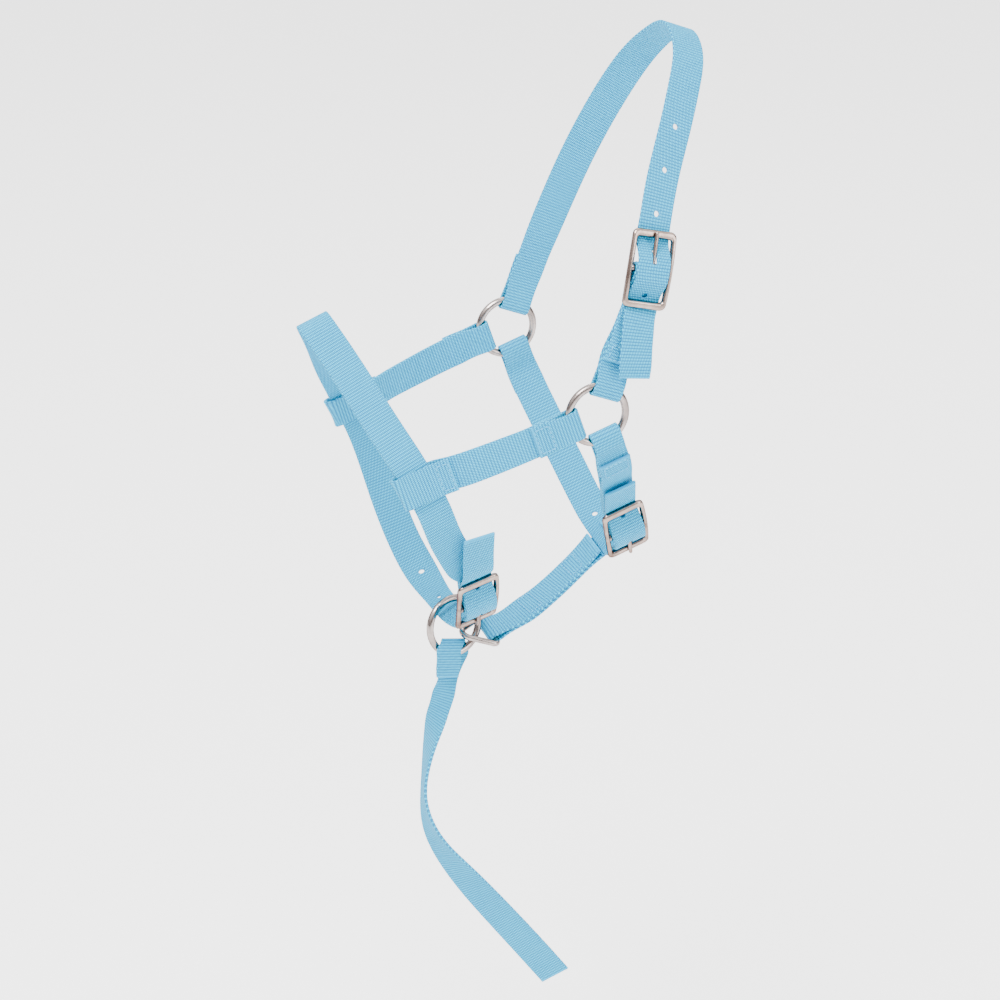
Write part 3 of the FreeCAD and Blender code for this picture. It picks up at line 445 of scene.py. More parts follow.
def to_frame(points):
    """Layout millimetres to the model's metres from the poll seat."""
    return (np.asarray(points) - np.array(SEAT)) / 1000


# ---------------------------------------------------------------- pieces


def new_mesh(name, verts, faces):
    mesh = bpy.data.meshes.new(name)
    mesh.from_pydata(to_frame(verts).tolist(), [], faces)
    mesh.shade_smooth()
    return mesh


def add_values(mesh, name, values):
    """A number at every vertex, for the material to read."""
    attribute = mesh.attributes.new(name, "FLOAT", "POINT")
    attribute.data.foreach_set("value", np.array(values, np.float32))


def add_piece(mesh, material, body, node):
    mesh.materials.append(material)
    piece = bpy.data.objects.new(mesh.name, mesh)
    bpy.context.scene.collection.objects.link(piece)
    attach(piece, body)
    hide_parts(node)


def tube(path, radii, sides, closed=False):
    """Vertices and faces of a round tube along a path, with a radius at each point."""
    count = len(path)
    verts, faces = [], []
    normal = (path[1] - path[0]).normalized().orthogonal()
    for index, point in enumerate(path):
        back, front = path[index - 1], path[(index + 1) % count]
        if not closed:
            back, front = path[max(index - 1, 0)], path[min(index + 1, count - 1)]
        ahead = (front - back).normalized()
        normal = (normal - ahead * normal.dot(ahead)).normalized()
        side = ahead.cross(normal)
        for k in range(sides):
            angle = 2 * math.pi * k / sides
            verts.append(point + (normal * math.cos(angle) + side * math.sin(angle)) * radii[index])
    for index in range(count if closed else count - 1):
        here, there = index * sides, ((index + 1) % count) * sides
        for k in range(sides):
            following = (k + 1) % sides
            faces.append((here + k, here + following, there + following, there + k))
    if not closed:
        faces.append(tuple(range(sides))[::-1])
        faces.append(tuple(range((count - 1) * sides, count * sides)))
    return verts, faces


def joined(parts):
    """Several (vertices, faces) as one."""
    verts, faces = [], []
    for part_verts, part_faces in parts:
        faces += [tuple(index + len(verts) for index in face) for face in part_faces]
        verts += part_verts
    return verts, faces


# ---------------------------------------------------------------- materials


class Nodes:
    """Short calls for building a material's node tree."""

    def __init__(self, name):
        self.material = bpy.data.materials.new(name)
        self.material.use_nodes = True
        self.tree = self.material.node_tree
        self.shader = self.tree.nodes["Principled BSDF"]

    def node(self, kind, **settings):
        node = self.tree.nodes.new(kind)
        for key, value in settings.items():
            setattr(node, key, value)
        return node

    def link(self, source, target):
        """Sets a number straight on the socket, and links anything else."""
        if isinstance(source, (int, float)):
            target.default_value = source
        else:
            self.tree.links.new(source, target)

    def give(self, **values):
        """Values that are the same all over the surface, on the shader's own sockets."""
        for label, value in values.items():
            self.shader.inputs[label.replace("_", " ")].default_value = value

    def attribute(self, name):
        return self.node("ShaderNodeAttribute", attribute_name=name).outputs["Fac"]

    def object_at(self):
        return self.node("ShaderNodeTexCoord").outputs["Object"]

    def math(self, operation, *values):
        node = self.node("ShaderNodeMath", operation=operation)
        for socket, value in zip(node.inputs, values):
            self.link(value, socket)
        return node.outputs[0]

    def mix(self, factor, first, second):
        node = self.node("ShaderNodeMix", data_type="RGBA")
        self.link(factor, node.inputs["Factor"])
        for socket, value in ((node.inputs["A"], first), (node.inputs["B"], second)):
            if isinstance(value, tuple):
                socket.default_value = (*value, 1)
            else:
                self.tree.links.new(value, socket)
        return node.outputs["Result"]

    def noise(self, vector, scale, detail):
        node = self.node("ShaderNodeTexNoise")
        self.link(vector, node.inputs["Vector"])
        node.inputs["Scale"].default_value = scale
        node.inputs["Detail"].default_value = detail
        return node.outputs["Fac"]

    def bump(self, height, strength, distance):
        node = self.node("ShaderNodeBump")
        node.inputs["Strength"].default_value = strength
        node.inputs["Distance"].default_value = distance
        self.link(height, node.inputs["Height"])
        self.link(node.outputs["Normal"], self.shader.inputs["Normal"])


# Weave, in millimetres: ribs a pick apart, floats of yarn across them, and fine filaments.
PICK, FLOAT_PITCH, FLOAT_SLANT, FILAMENT = 1.62, 0.92, 0.28, 0.23
# The ground between the floats is painted shade, a dark copy of the yarn's blue; the floats carry the
# yarn's own colour.
GROUND_PAINTED_SHADE = (0.0, 0.05, 0.20), (0.0, 0.07, 0.25)
FLOAT_YARN = (0.0, 0.58, 0.92), (0.004, 0.67, 0.97)
SELVEDGE_SHADE, LINT, SEALED_NYLON = (0.01, 0.22, 0.38), (0.12, 0.75, 0.97), (0.01, 0.33, 0.58)
THREAD_DARK = (0.0, 0.20, 0.46)
THREAD_PALE = (0.03, 0.50, 0.80), (0.06, 0.62, 0.88)
# The colour of the painted shade on the buckles: under the frames, inside their windows and on their
# pins.
PAINTED_SHADE_TONE = (0.075, 0.07, 0.09)


def weave_floats(m, u, v):
    """1 on the crown of each float of yarn and 0 between them, staggered from rib to rib."""
    pick = m.math("DIVIDE", v, PICK)
    stagger = m.math("MULTIPLY", m.math("FLOOR", pick), 0.5)
    slant = m.math("MULTIPLY", m.math("FRACT", pick), FLOAT_SLANT)
    across = m.math("ADD", m.math("DIVIDE", u, FLOAT_PITCH), stagger)
    phase = m.math("MULTIPLY", m.math("ADD", across, slant), 2 * math.pi)
    column = m.math("MULTIPLY_ADD", m.math("COSINE", phase), 0.5, 0.5)
    rib = m.math("ABSOLUTE", m.math("SINE", m.math("MULTIPLY", v, math.pi / PICK)))
    return m.math("MULTIPLY", m.math("POWER", rib, 0.8), m.math("POWER", column, 0.8))


def make_webbing():
    """Nylon webbing: bright floats with painted shade on the ground between them, firm selvedges and
    melted cut edges.
    """
    m = Nodes("nylon_webbing")
    split = m.node("ShaderNodeSeparateXYZ")
    m.link(m.node("ShaderNodeUVMap", uv_map="weave").outputs["UV"], split.inputs[0])
    u, v = split.outputs[0], split.outputs[1]
    melt, edge = m.attribute("melt"), m.attribute("edge")
    floats = weave_floats(m, u, v)
    at = m.object_at()
    patch, grain = m.noise(at, 38.0, 3.0), m.noise(at, 900.0, 2.0)
    # Painted shade: between the floats the colour falls to the dark ground.
    colour = m.mix(floats, m.mix(patch, *GROUND_PAINTED_SHADE), m.mix(patch, *FLOAT_YARN))
    at_selvedge = m.math("MULTIPLY", m.math("POWER", edge, 26.0), 0.35)
    colour = m.mix(at_selvedge, colour, SELVEDGE_SHADE)
    colour = m.mix(m.math("MULTIPLY", grain, 0.08), colour, LINT)
    colour = m.mix(m.math("MULTIPLY", melt, 0.6), colour, SEALED_NYLON)
    m.link(colour, m.shader.inputs["Base Color"])
    rough = m.math("MULTIPLY_ADD", floats, -0.16, 0.62)
    m.link(m.math("MULTIPLY_ADD", melt, -0.2, rough), m.shader.inputs["Roughness"])
    m.give(Sheen_Weight=0.03, Sheen_Roughness=0.4, Sheen_Tint=(0.45, 0.8, 1.0, 1))
    m.give(Specular_IOR_Level=0.14)
    filament_phase = m.math("MULTIPLY_ADD", u, 2 * math.pi / FILAMENT, m.math("MULTIPLY", v, 1.3))
    filaments = m.math("MULTIPLY", m.math("SINE", filament_phase), 0.05)
    height = m.math("MULTIPLY", m.math("ADD", floats, filaments), m.math("SUBTRACT", 1.0, melt))
    m.bump(height, 0.8, 0.0003)
    return m.material


def make_metal(name, bright, dull, rough, wear):
    """Nickel plate: cloudy wear between two tones, and painted shade, broken up by noise, where the
    piece's own values ask for it.
    """
    m = Nodes(name)
    at = m.object_at()
    cloud, spots, fine = m.noise(at, 130.0, 4.0), m.noise(at, 420.0, 3.0), m.noise(at, 1900.0, 2.0)
    worn = m.math("MAXIMUM", m.math("MULTIPLY_ADD", cloud, 2.2, -0.75), 0.0)
    shade = m.mix(m.math("MINIMUM", worn, 1.0), bright, dull)
    # Painted shade: the piece's values darken the metal, made patchy by noise.
    dark = m.math("MULTIPLY", m.attribute("painted_shade"), m.math("MULTIPLY_ADD", spots, 0.5, 0.6))
    m.link(m.mix(dark, shade, PAINTED_SHADE_TONE), m.shader.inputs["Base Color"])
    m.link(m.math("MULTIPLY_ADD", cloud, wear, rough), m.shader.inputs["Roughness"])
    m.give(Metallic=1.0, Specular_Tint=(0.3, 0.25, 0.26, 1))
    m.bump(m.math("ADD", m.math("MULTIPLY", fine, 0.3), cloud), 0.22, 0.0002)
    return m.material


def make_thread():
    """Bonded thread: its plies show as a fine broken mottle along each stitch."""
    m = Nodes("stitch_thread")
    at = m.object_at()
    plies, soil = m.noise(at, 2600.0, 2.0), m.noise(at, 160.0, 2.0)
    colour = m.mix(plies, THREAD_DARK, m.mix(soil, *THREAD_PALE))
    m.link(colour, m.shader.inputs["Base Color"])
    m.link(m.math("MULTIPLY_ADD", plies, -0.2, 0.6), m.shader.inputs["Roughness"])
    m.give(Sheen_Weight=0.15)
    m.bump(plies, 0.6, 0.0001)
    return m.material


web_material = make_webbing()
thread_material = make_thread()
ring_material = make_metal("ring_nickel", (0.40, 0.35, 0.33), (0.17, 0.135, 0.125), 0.1, 0.14)
buckle_material = make_metal("buckle_nickel", (0.41, 0.32, 0.28), (0.17, 0.12, 0.10), 0.13, 0.16)

# ---------------------------------------------------------------- straps

ROW_STEP = PICK / 4
HALF = WIDTH / 2
ACROSS = [0.25, 0.72, 1.2, 1.7, 2.25, 3.0, 3.9, 4.9, 5.9, 6.9, 7.7, 8.3, 8.75, 9.0]
COLUMNS = np.array([-u for u in ACROSS[::-1]] + ACROSS) / HALF
RIB_RELIEF, RIB_BULGE = 0.13, 0.012
END_ROW, END_ROUND, END_THIN = 0.18, 0.35, 0.6
SEAL_FULL, SEAL_FADE, HOLE_SEAL, SEAL_SWELL = 1.25, 1.6, 0.5, 0.05


def rounded(t, share=1.0):
    """A quarter round: 1 at t = 0, falling to the root of what share leaves at t = 1."""
    return np.sqrt(1 - share * np.clip(t, 0, 1) ** 2)


def selvedge(column):
    """Half thickness across the strap: a firm edge cord, then the rounded edge."""
    edge = np.abs(column)
    cord = 0.07 * np.exp(-(((edge - 0.93) / 0.035) ** 2))
    return (1 + cord) * (0.25 + 0.75 * rounded((edge - 0.925) / 0.085))


def outside_hole(s, w, hole):
    """Distance outside a punched hole: (centre, half length, radius)."""
    centre, half_long, radius = hole
    return np.hypot(np.maximum(np.abs(s - centre) - half_long, 0), w) - radius


def punch(s_grid, w_grid, removed, hole):
    """Takes a hole's cells away, moves its rim onto its outline, and returns its melted border."""
    centre, half_long, radius = hole
    cell_s = (s_grid[1:, 1:] + s_grid[:-1, :-1]) / 2
    cell_w = (w_grid[1:, 1:] + w_grid[:-1, :-1]) / 2
    inside = outside_hole(cell_s, cell_w, hole) < 0
    removed |= inside
    seal = np.clip(1 - outside_hole(s_grid, w_grid, hole) / HOLE_SEAL, 0, 1)
    taken, kept = np.zeros(s_grid.shape, bool), np.zeros(s_grid.shape, bool)
    long, wide = inside.shape
    for i in (0, 1):
        for j in (0, 1):
            taken[i : long + i, j : wide + j] |= inside
            kept[i : long + i, j : wide + j] |= ~inside
    rim = taken & kept
    base = np.clip(s_grid[rim], centre - half_long, centre + half_long)
    along, across = s_grid[rim] - base, w_grid[rim]
    away = np.maximum(np.hypot(along, across), 1e-6)
    s_grid[rim] = base + along * radius / away
    w_grid[rim] = across * radius / away
    return seal


def strap_faces(removed):
    """Faces of a strap's two sides, its edges, its ends and the walls of its holes."""
    long, last = removed.shape
    total = (long + 1) * (last + 1)

    def top(i, j):
        return i * (last + 1) + j

    def low(i, j):
        return total + top(i, j)

    def edge(i, k):
        return 2 * total + 2 * i + k

    faces = []
    for i in range(long):
        for j in range(last):
            if not removed[i, j]:
                faces.append((top(i, j), top(i, j + 1), top(i + 1, j + 1), top(i + 1, j)))
                faces.append((low(i, j), low(i + 1, j), low(i + 1, j + 1), low(i, j + 1)))
                continue
            for di, dj, (p, q) in (
                (-1, 0, ((i, j), (i, j + 1))),
                (1, 0, ((i + 1, j + 1), (i + 1, j))),
                (0, -1, ((i + 1, j), (i, j))),
                (0, 1, ((i, j + 1), (i + 1, j + 1))),
            ):
                if not removed[i + di, j + dj]:
                    faces.append((top(*p), top(*q), low(*q), low(*p)))
        faces.append((top(i, last), edge(i, 0), edge(i + 1, 0), top(i + 1, last)))
        faces.append((edge(i, 0), low(i, last), low(i + 1, last), edge(i + 1, 0)))
        faces.append((low(i, 0), edge(i, 1), edge(i + 1, 1), low(i + 1, 0)))
        faces.append((edge(i, 1), top(i, 0), top(i + 1, 0), edge(i + 1, 1)))
    for i, way in ((0, 1), (long, -1)):
        cap = [(top(i, j), low(i, j), low(i, j + 1), top(i, j + 1)) for j in range(last)]
        cap += [(top(i, last), low(i, last), edge(i, 0)), (low(i, 0), top(i, 0), edge(i, 1))]
        faces += [face[::way] for face in cap]
    return faces


def webbing(name, body, node, stations, holes=()):
    """A woven strap: ribbed faces, selvedges, heat-sealed ends and sealed holes."""
    ribbon = Ribbon(stations)
    count = round(ribbon.length / ROW_STEP) + 1
    rows = np.linspace(0, ribbon.length, count)
    rows[1], rows[-2] = END_ROW, ribbon.length - END_ROW
    s_grid = np.repeat(rows[:, None], len(COLUMNS), axis=1)
    w_grid = np.repeat(COLUMNS[None, :] * HALF, count, axis=0)
    removed = np.zeros((count - 1, len(COLUMNS) - 1), bool)
    seal = np.zeros(s_grid.shape)
    for hole in holes:
        seal = np.maximum(seal, punch(s_grid, w_grid, removed, hole))

    face_s, column = s_grid.ravel(), w_grid.ravel() / HALF
    centre, side, normal = ribbon.at(face_s)
    end = np.minimum(face_s, ribbon.length - face_s)
    melt = np.maximum(np.clip(SEAL_FULL - end / SEAL_FADE, 0, 1), seal.ravel())
    rib = np.abs(np.sin(math.pi * face_s / PICK)) ** 0.7
    dip = RIB_RELIEF / (THICK / 2) * (1 - rib) * (1 - melt)
    thick = (selvedge(column) - dip) * rounded(1 - end / END_ROUND, END_THIN) * (1 + SEAL_SWELL * melt)
    middle, half_thick = centre + side * column[:, None], normal * thick[:, None]

    edge_s, edge_side = np.repeat(rows, 2), np.tile([1.0, -1.0], count)
    edge_centre, edge_way, _ = ribbon.at(edge_s)
    bulge = 1 + RIB_BULGE * np.abs(np.sin(math.pi * edge_s / PICK))
    edges = edge_centre + edge_way * (edge_side * bulge)[:, None]
    edge_end = np.minimum(edge_s, ribbon.length - edge_s)
    edge_melt = np.clip(SEAL_FULL - edge_end / SEAL_FADE, 0, 1)

    verts = np.concatenate([middle + half_thick, middle - half_thick, edges])
    mesh = new_mesh(name, verts, strap_faces(removed))
    u = np.concatenate([column, column, edge_side]) * HALF
    v = np.concatenate([face_s, face_s, edge_s])
    corners = np.zeros(len(mesh.loops), np.int32)
    mesh.loops.foreach_get("vertex_index", corners)
    weave = np.stack([u[corners], v[corners]], 1).astype(np.float32)
    mesh.uv_layers.new(name="weave").data.foreach_set("uv", weave.ravel())
    add_values(mesh, "melt", np.concatenate([melt, melt, edge_melt]))
    add_values(mesh, "edge", np.abs(u) / HALF)
    add_piece(mesh, web_material, body, node)
    return ribbon


TONGUE_HOLE = (HOLE_AT + 0.45, 3.15, 1.45)
OPEN_HOLES = [HOLE_AT + k * HOLE_PITCH for k in (-3, -2, -1, 1)]
NOSE_HOLES = (-94.0, -70.0, 16.0)


def holes_from(stations, pin_index, distances):
    """Round holes at distances from the buckle's pin, and the long one that the tongue is in."""
    pin = Ribbon(stations).station(pin_index)
    shift, half_long, radius = TONGUE_HOLE
    return [(pin + at, 0.0, HOLE_R) for at in distances] + [(pin + shift, half_long, radius)]


crown_holes = holes_from(crown, crown_pin, OPEN_HOLES)
throat_holes = holes_from(throat, throat_pin, OPEN_HOLES[:2] + OPEN_HOLES[3:])
nose_holes = holes_from(nose, nose_pin, NOSE_HOLES)
near_cheek, far_cheek = cheek_stations(1), cheek_stations(-1)
ribbons = {}
for name, body, node, stations, holes in (
    ("crown_webbing", "crown", "crown_strap", crown, crown_holes),
    ("throat_webbing", "halter", "throat_strap", throat, throat_holes),
    ("noseband_webbing", "halter", "noseband", nose, nose_holes),
    ("crown_tab_webbing", "crown", "crown_buckle_tab", crown_tab, ()),
    ("throat_tab_webbing", "halter", "throat_buckle_tab", throat_tab, ()),
    ("cheek_webbing_near", "halter", "cheek_strap_near", near_cheek, ()),
    ("cheek_webbing_far", "halter", "cheek_strap_far", far_cheek, ()),
    ("jaw_webbing", "halter", "jaw_strap", jaw, ()),
    ("grab_webbing", "grab", "grab_strap", grab, ()),
):
    ribbons[node] = webbing(name, body, node, stations, holes)

# ---------------------------------------------------------------- stitching

STITCH, STITCH_GAP = 2.2, 0.75
STITCH_INSET, STITCH_MARGIN = 2.4, 1.3
# Along one stitch: the thread's height above the strap's face, and its radius.
STITCH_RISE = np.array([-0.3, 0.16, 0.3, 0.3, 0.16, -0.3])
STITCH_RADII = (0.2, 0.31, 0.34, 0.34, 0.31, 0.2)
THREAD_SIDES = 8


def box_stitches(node, body, strap, first, last, outward):
    """Separate stitches round a box on a strap's face, between two of its stations."""
    ribbon = ribbons[strap]
    ends = [ribbon.station(index % len(ribbon.knots)) for index in (first, last)]
    start, end = min(ends) + STITCH_MARGIN, max(ends) - STITCH_MARGIN
    _, side, normal = ribbon.at(np.array([(start + end) / 2]))
    face = math.copysign(1, Vector(normal[0]).dot(outward))
    edge = float(np.linalg.norm(side[0])) - STITCH_INSET
    corners = [(start, -edge), (start, edge), (end, edge), (end, -edge)]
    along = np.linspace(0, 1, len(STITCH_RADII))
    parts = []
    for (s0, u0), (s1, u1) in zip(corners, corners[1:] + corners[:1]):
        run = math.hypot(s1 - s0, u1 - u0)
        count = max(round(run / (STITCH + STITCH_GAP)), 1)
        pitch = run / count
        for k in range(count):
            t = (k * pitch + STITCH_GAP / 2 + along * (pitch - STITCH_GAP)) / run
            centres, sides, normals = ribbon.at(s0 + (s1 - s0) * t)
            across = (u0 + (u1 - u0) * t) / np.linalg.norm(sides, axis=1)
            rise = face * (1 + STITCH_RISE / (THICK / 2))
            path = centres + sides * across[:, None] + normals * rise[:, None]
            parts.append(tube([Vector(point) for point in path], STITCH_RADII, THREAD_SIDES))
    mesh = new_mesh(node.replace("stitching", "stitches"), *joined(parts))
    add_piece(mesh, thread_material, body, node)


NEAR, FAR, UP = X_AXIS, X_AXIS * -1, Vector((0, 0, 1))
jaw_top = len(jaw_plan) - 1 - len(jaw_over)
for node, body, strap, first, last, outward in (
    ("crown_tab_stitching", "crown", "crown_buckle_tab", 0, 1, NEAR),
    ("crown_ring_stitching", "crown", "crown_strap", 0, 2, FAR),
    ("throat_tab_stitching", "halter", "throat_buckle_tab", 0, 1, NEAR),
    ("throat_ring_stitching", "halter", "throat_strap", 0, 2, FAR),
    ("cheek_ring_stitching_near", "halter", "cheek_strap_near", 0, 2, NEAR),
    ("cheek_ring_stitching_far", "halter", "cheek_strap_far", 0, 2, FAR),
    ("cheek_tunnel_stitching_near", "halter", "cheek_strap_near", -3, -1, NEAR),
    ("cheek_tunnel_stitching_far", "halter", "cheek_strap_far", -3, -1, FAR),
    ("jaw_front_stitching", "halter", "jaw_strap", jaw_top, jaw_top + 1, UP),
    ("jaw_rear_stitching", "halter", "jaw_strap", -4, -3, UP),
    ("noseband_stitching", "halter", "noseband", 0, 1, nose_buckle.outward * -1),
):
    box_stitches(node, body, strap, first, last, outward)

# ---------------------------------------------------------------- rings and dee

RING_STEPS, WIRE_SIDES = 160, 28
WELD_RISE, WELD_REACH, WELD_LINE = 0.05, 5.0, 1.6


def ring_piece(name, node, body, centre, axis, weld):
    """A round wire ring, its weld a slight swelling with a fine line round it."""
    first = axis.orthogonal().normalized()
    second = axis.cross(first)
    path, radii = [], []
    for degrees in np.linspace(0, 360, RING_STEPS, endpoint=False):
        angle = math.radians(degrees)
        path.append(centre + (first * math.cos(angle) + second * math.sin(angle)) * RING_R)
        away = abs((degrees - weld + 180) % 360 - 180)
        swell = math.exp(-((away / WELD_REACH) ** 2)) - math.exp(-((away / WELD_LINE) ** 2))
        radii.append(RING_WIRE / 2 + WELD_RISE * swell)
    mesh = new_mesh(name, *tube(path, radii, WIRE_SIDES, closed=True))
    add_piece(mesh, ring_material, body, node)


ring_piece("near_ring_wire", "cheek_ring_near", "near_ring", Vector((SPAN, 0, 0)), X_AXIS, 200)
ring_piece("far_ring_wire", "cheek_ring_far", "far_ring", Vector((-SPAN, 0, 0)), X_AXIS, 20)
ring_piece("chin_ring_wire", "chin_ring", "lead_ring", CHIN_CENTRE, CHIN_AXIS, 120)

DEE_POINT_RISE, DEE_FOOT_R, DEE_TOP_R = 3.4, 2.2, 4.2
CORNER_STEPS = 10


def rounded_loop(corners, radii):
    """Points round a closed loop of straight sides and tangent arcs."""
    points = []
    for index, (here, radius) in enumerate(zip(corners, radii)):
        back = (corners[index - 1] - here).normalized()
        ahead = (corners[(index + 1) % len(corners)] - here).normalized()
        half = back.angle(ahead) / 2
        centre = here + (back + ahead).normalized() * (radius / math.sin(half))
        start = (here + back * (radius / math.tan(half)) - centre).normalized()
        end = (here + ahead * (radius / math.tan(half)) - centre).normalized()
        for k in range(CORNER_STEPS + 1):
            points.append(centre + start.slerp(end, k / CORNER_STEPS) * radius)
    return points


dee_foot = DEE_ACROSS * DEE_HALF
dee_top = DEE_BASE + DEE_AHEAD * (DEE_HIGH + DEE_POINT_RISE)
dee_corners = [DEE_BASE - dee_foot, dee_top, DEE_BASE + dee_foot]
dee_path = rounded_loop(dee_corners, [DEE_FOOT_R, DEE_TOP_R, DEE_FOOT_R])
dee_tube = tube(dee_path, [DEE_WIRE / 2] * len(dee_path), WIRE_SIDES, closed=True)
add_piece(new_mesh("jaw_dee_wire", *dee_tube), ring_material, "dee", "jaw_dee")

# ---------------------------------------------------------------- buckles

# The frame's section: its way from the inner edge (0) to the outer edge (1), and its height over
# half the thickness.
FRAME_SECTION = [
    (0.0, -0.45), (0.0, 0.1), (0.03, 0.3), (0.2, 0.84), (0.27, 0.95),
    (0.36, 1.0), (0.66, 1.0), (0.78, 0.96), (0.93, 0.62), (0.985, 0.4),
    (1.0, 0.15), (1.0, -0.35), (0.97, -0.6), (0.87, -0.85), (0.74, -0.98),
    (0.6, -1.0), (0.35, -1.0), (0.2, -0.96), (0.08, -0.82), (0.02, -0.62),
]
BEND_STEPS, LONG_STEPS, SHORT_STEPS = 10, 12, 8
# Half length, half width, corner radius and swell of the long sides.
FRAME_WINDOW = (FRAME_LONG / 2 - FRAME_BAR - 0.3, FRAME_WIDE / 2 - 2.45, 1.5, 0.1)
FRAME_RIM = (FRAME_LONG / 2, FRAME_WIDE / 2, 3.2, 0.55)
PIN_STEPS, PIN_INSET, PIN_MIDDLE_R, PIN_FLARE, PIN_SIDES = 12, 1.2, 1.4, 0.35, 24
TONGUE_STEPS, TONGUE_SIDES, TONGUE_TAPER, TAPER_FROM = 12, 20, 0.12, 0.6
# The rounded tip: distance past the shank's end, and the share of its radius.
TONGUE_TIP = ((-0.85, 1.0), (-0.35, 0.93), (-0.08, 0.72), (0.1, 0.4))


def frame_outline(half_long, half_wide, radius, barrel):
    """A rounded rectangle whose long sides swell, as [along, side] points."""
    points = []
    for turn, (sx, sy) in enumerate(((1, 1), (-1, 1), (-1, -1), (1, -1))):
        x, y = sx * (half_long - radius), sy * (half_wide - radius)
        for k in range(BEND_STEPS + 1):
            angle = math.radians(90 * (turn + k / BEND_STEPS))
            points.append([x + radius * math.cos(angle), y + radius * math.sin(angle)])
        if turn % 2 == 0:
            shares = [1 - 2 * k / LONG_STEPS for k in range(1, LONG_STEPS)]
            points += [[x * share, sy * half_wide] for share in shares]
        else:
            shares = [1 - 2 * k / SHORT_STEPS for k in range(1, SHORT_STEPS)]
            points += [[sx * half_long, y * share] for share in shares]
    for point in points:
        swell = barrel * (1 - (point[0] / half_long) ** 2)
        point[1] += math.copysign(swell, point[1]) * min(abs(point[1]) / half_wide * 4, 1)
    return points


def section_painted_shade(t, height):
    """Painted shade: dark underneath and inside the window, where the strap shades the frame, and a
    little at the outer edge.
    """
    if height < 0:
        return 1.0
    return max(0.9 - 9 * t, 0.35 if t > 0.99 else 0.0)


def buckle_frame(name, node, body, buckle):
    """A cast frame with a raised rim, bevelled inside and out, and its centre pin."""
    window, rim = frame_outline(*FRAME_WINDOW), frame_outline(*FRAME_RIM)
    sides, count = len(FRAME_SECTION), len(window)
    verts, faces = [], []
    for (x_in, y_in), (x_out, y_out) in zip(window, rim):
        for t, height in FRAME_SECTION:
            x, y = x_in + (x_out - x_in) * t, y_in + (y_out - y_in) * t
            z = height * FRAME_THICK / 2 - FRAME_ARCH * (x / (FRAME_LONG / 2)) ** 2
            verts.append(buckle.point(x, z) + buckle.side * y)
    for index in range(count):
        here, there = index * sides, ((index + 1) % count) * sides
        for k in range(sides):
            following = (k + 1) % sides
            faces.append((here + k, there + k, there + following, here + following))
    pin_half = FRAME_WIDE / 2 - PIN_INSET
    shares = [2 * k / PIN_STEPS - 1 for k in range(PIN_STEPS + 1)]
    pin_radii = [PIN_MIDDLE_R + PIN_FLARE * max(4 * abs(share) - 3, 0) for share in shares]
    pin_path = [buckle.pin + buckle.side * (pin_half * share) for share in shares]
    pin = tube(pin_path, pin_radii, PIN_SIDES)
    mesh = new_mesh(name, *joined([(verts, faces), pin]))
    # Painted shade on the frame's section, and on the whole pin, which lies under the strap.
    painted_shade = [section_painted_shade(t, height) for t, height in FRAME_SECTION] * count
    add_values(mesh, "painted_shade", painted_shade + [0.6] * len(pin[0]))
    add_piece(mesh, buckle_material, body, node)


def buckle_tongue(name, node, body, buckle):
    """A wire tongue: an open eye round the pin, and a round shank that tapers slightly to a rounded tip
    where it rests.
    """
    rest_at = BAR_AT - 1
    bar_top = FRAME_THICK / 2 - FRAME_ARCH * (2 * rest_at / FRAME_LONG) ** 2
    lean = math.asin((LOOP_R - TONGUE_WIRE / 2 - bar_top - GAP) / rest_at)
    eye = arc_points((0, 0), LOOP_R, 335, 90, 24)
    shank = [(TONGUE_REACH * k / TONGUE_STEPS, LOOP_R) for k in range(1, TONGUE_STEPS + 1)]
    path, radii = [], []
    for along, out in eye + shank:
        x = along * math.cos(lean) + out * math.sin(lean)
        z = out * math.cos(lean) - along * math.sin(lean)
        path.append(buckle.point(x, z))
        taper = max(along / TONGUE_REACH - TAPER_FROM, 0) / (1 - TAPER_FROM)
        radii.append(TONGUE_WIRE / 2 * (1 - TONGUE_TAPER * taper))
    ahead = (path[-1] - path[-2]).normalized()
    end, end_radius = path.pop(), radii.pop()
    path += [end + ahead * past for past, _ in TONGUE_TIP]
    radii += [end_radius * share for _, share in TONGUE_TIP]
    mesh = new_mesh(name, *tube(path, radii, TONGUE_SIDES))
    add_piece(mesh, buckle_material, body, node)


for place, buckle, body in (
    ("crown", crown_buckle, "crown"),
    ("throat", throat_buckle, "halter"),
    ("nose", nose_buckle, "halter"),
):
    buckle_frame(f"{place}_buckle_cast", f"{place}_buckle_frame", body, buckle)
    buckle_tongue(f"{place}_buckle_wire", f"{place}_buckle_tongue", f"{place}_tongue", buckle)

# ---------------------------------------------------------------- studio and camera

CAMERA_AZIMUTH, CAMERA_ELEVATION, CAMERA_DISTANCE = 71.8, 21.4, 1.95
SENSOR, FOCAL_RATIO = 36.0, 3.507
TARGET = (Vector((0, -29.0, -74.0)) - SEAT) / 1000
# Name, azimuth, elevation, distance, width and power.
LIGHTS = (
    ("key", 40, 58, 2.2, 1.0, 94),
    ("fill", 125, 20, 2.4, 1.2, 34),
    ("rim", 250, 45, 2.4, 1.0, 26),
)
# Height and colour of the sky, from straight down (0) to straight up (1).
SKY = ((0.0, (0.16, 0.15, 0.15, 1)), (0.28, (0.30, 0.28, 0.28, 1)), (0.62, (1, 1, 1, 1)))
SKY_STRENGTH = 2.6
FLOOR_DROP, FLOOR_RADIUS, FLOOR_SIDES, FLOOR_GLOW = 0.12, 40.0, 64, 0.65


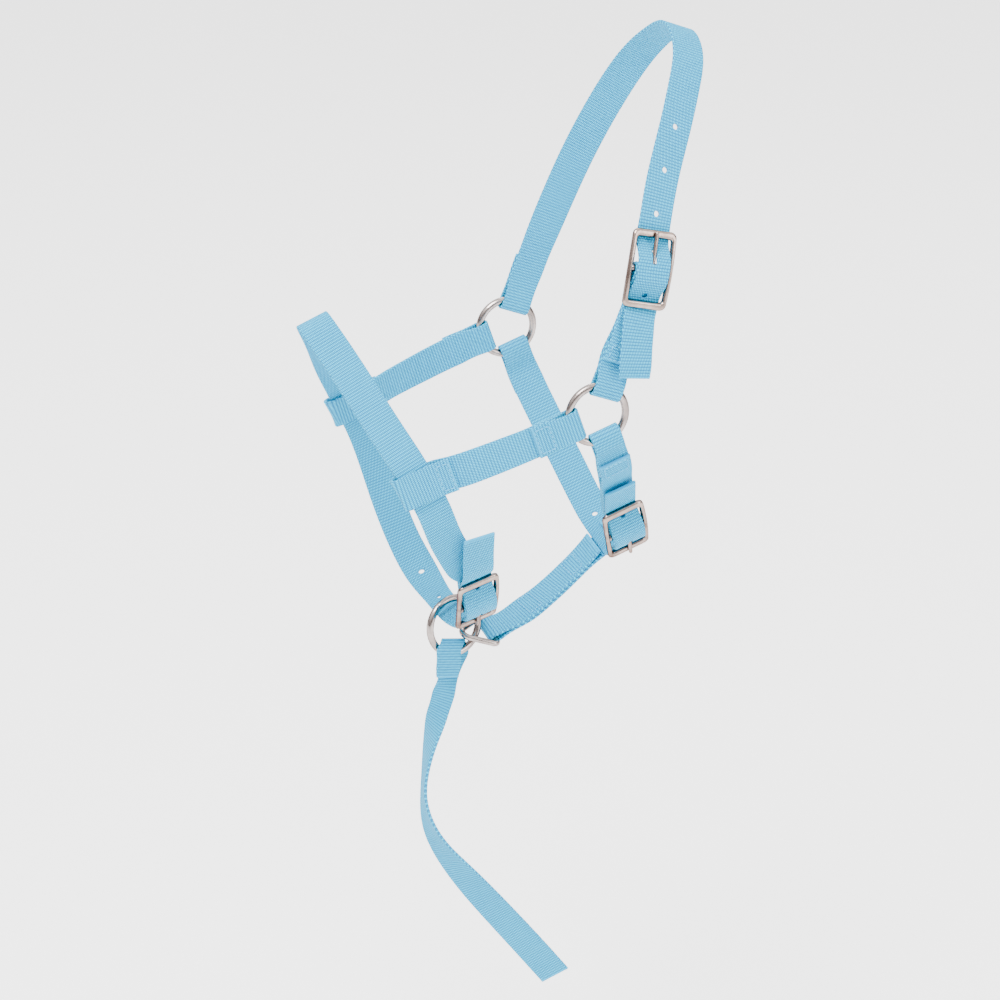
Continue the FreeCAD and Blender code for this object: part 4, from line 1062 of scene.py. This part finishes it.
def add_aimed(name, data, azimuth, elevation, distance):
    """A camera or light at a bearing from the target, turned to face it."""
    a, e = math.radians(azimuth), math.radians(elevation)
    way = Vector((math.sin(a) * math.cos(e), -math.cos(a) * math.cos(e), math.sin(e)))
    aimed = bpy.data.objects.new(name, data)
    aimed.rotation_mode = "QUATERNION"
    aimed.location = TARGET + way * distance
    aimed.rotation_quaternion = (-way).to_track_quat("-Z", "Y")
    bpy.context.scene.collection.objects.link(aimed)
    return aimed


camera_data = bpy.data.cameras.new("camera")
camera_data.sensor_width = SENSOR
camera_data.lens = SENSOR * FOCAL_RATIO
camera_data.clip_end = 200.0
camera = add_aimed("camera", camera_data, CAMERA_AZIMUTH, CAMERA_ELEVATION, CAMERA_DISTANCE)
bpy.context.scene.camera = camera

for name, azimuth, elevation, distance, width, power in LIGHTS:
    light_data = bpy.data.lights.new(name, "AREA")
    light_data.shape = "SQUARE"
    light_data.size = width
    light_data.energy = power
    add_aimed(name, light_data, azimuth, elevation, distance)

world = bpy.data.worlds.new("studio")
world.use_nodes = True
sky = world.node_tree
heights = sky.nodes.new("ShaderNodeSeparateXYZ")
sky.links.new(sky.nodes.new("ShaderNodeTexCoord").outputs["Generated"], heights.inputs[0])
ramp = sky.nodes.new("ShaderNodeValToRGB")
sky.links.new(heights.outputs[2], ramp.inputs[0])
bands = ramp.color_ramp.elements
bands.new(SKY[1][0])
for band, (position, colour) in zip(bands, SKY):
    band.position, band.color = position, colour
sky.links.new(ramp.outputs[0], sky.nodes["Background"].inputs["Color"])
sky.nodes["Background"].inputs["Strength"].default_value = SKY_STRENGTH
bpy.context.scene.world = world

floor_z = cad_box[0].z - FLOOR_DROP
floor_turns = [2 * math.pi * k / FLOOR_SIDES for k in range(FLOOR_SIDES)]
floor_verts = [(FLOOR_RADIUS * math.cos(a), FLOOR_RADIUS * math.sin(a), floor_z) for a in floor_turns]
floor_mesh = bpy.data.meshes.new("floor")
floor_mesh.from_pydata(floor_verts, [], [tuple(range(FLOOR_SIDES))])
floor = bpy.data.objects.new("floor", floor_mesh)
bpy.context.scene.collection.objects.link(floor)
paper = Nodes("pale_paper")
speck = paper.noise(paper.object_at(), 40.0, 3.0)
paper.link(paper.mix(speck, (0.95, 0.95, 0.95), (0.97, 0.97, 0.97)), paper.shader.inputs["Base Color"])
paper.give(Roughness=0.9, Emission_Color=(1, 1, 1, 1), Emission_Strength=FLOOR_GLOW)
floor_mesh.materials.append(paper.material)
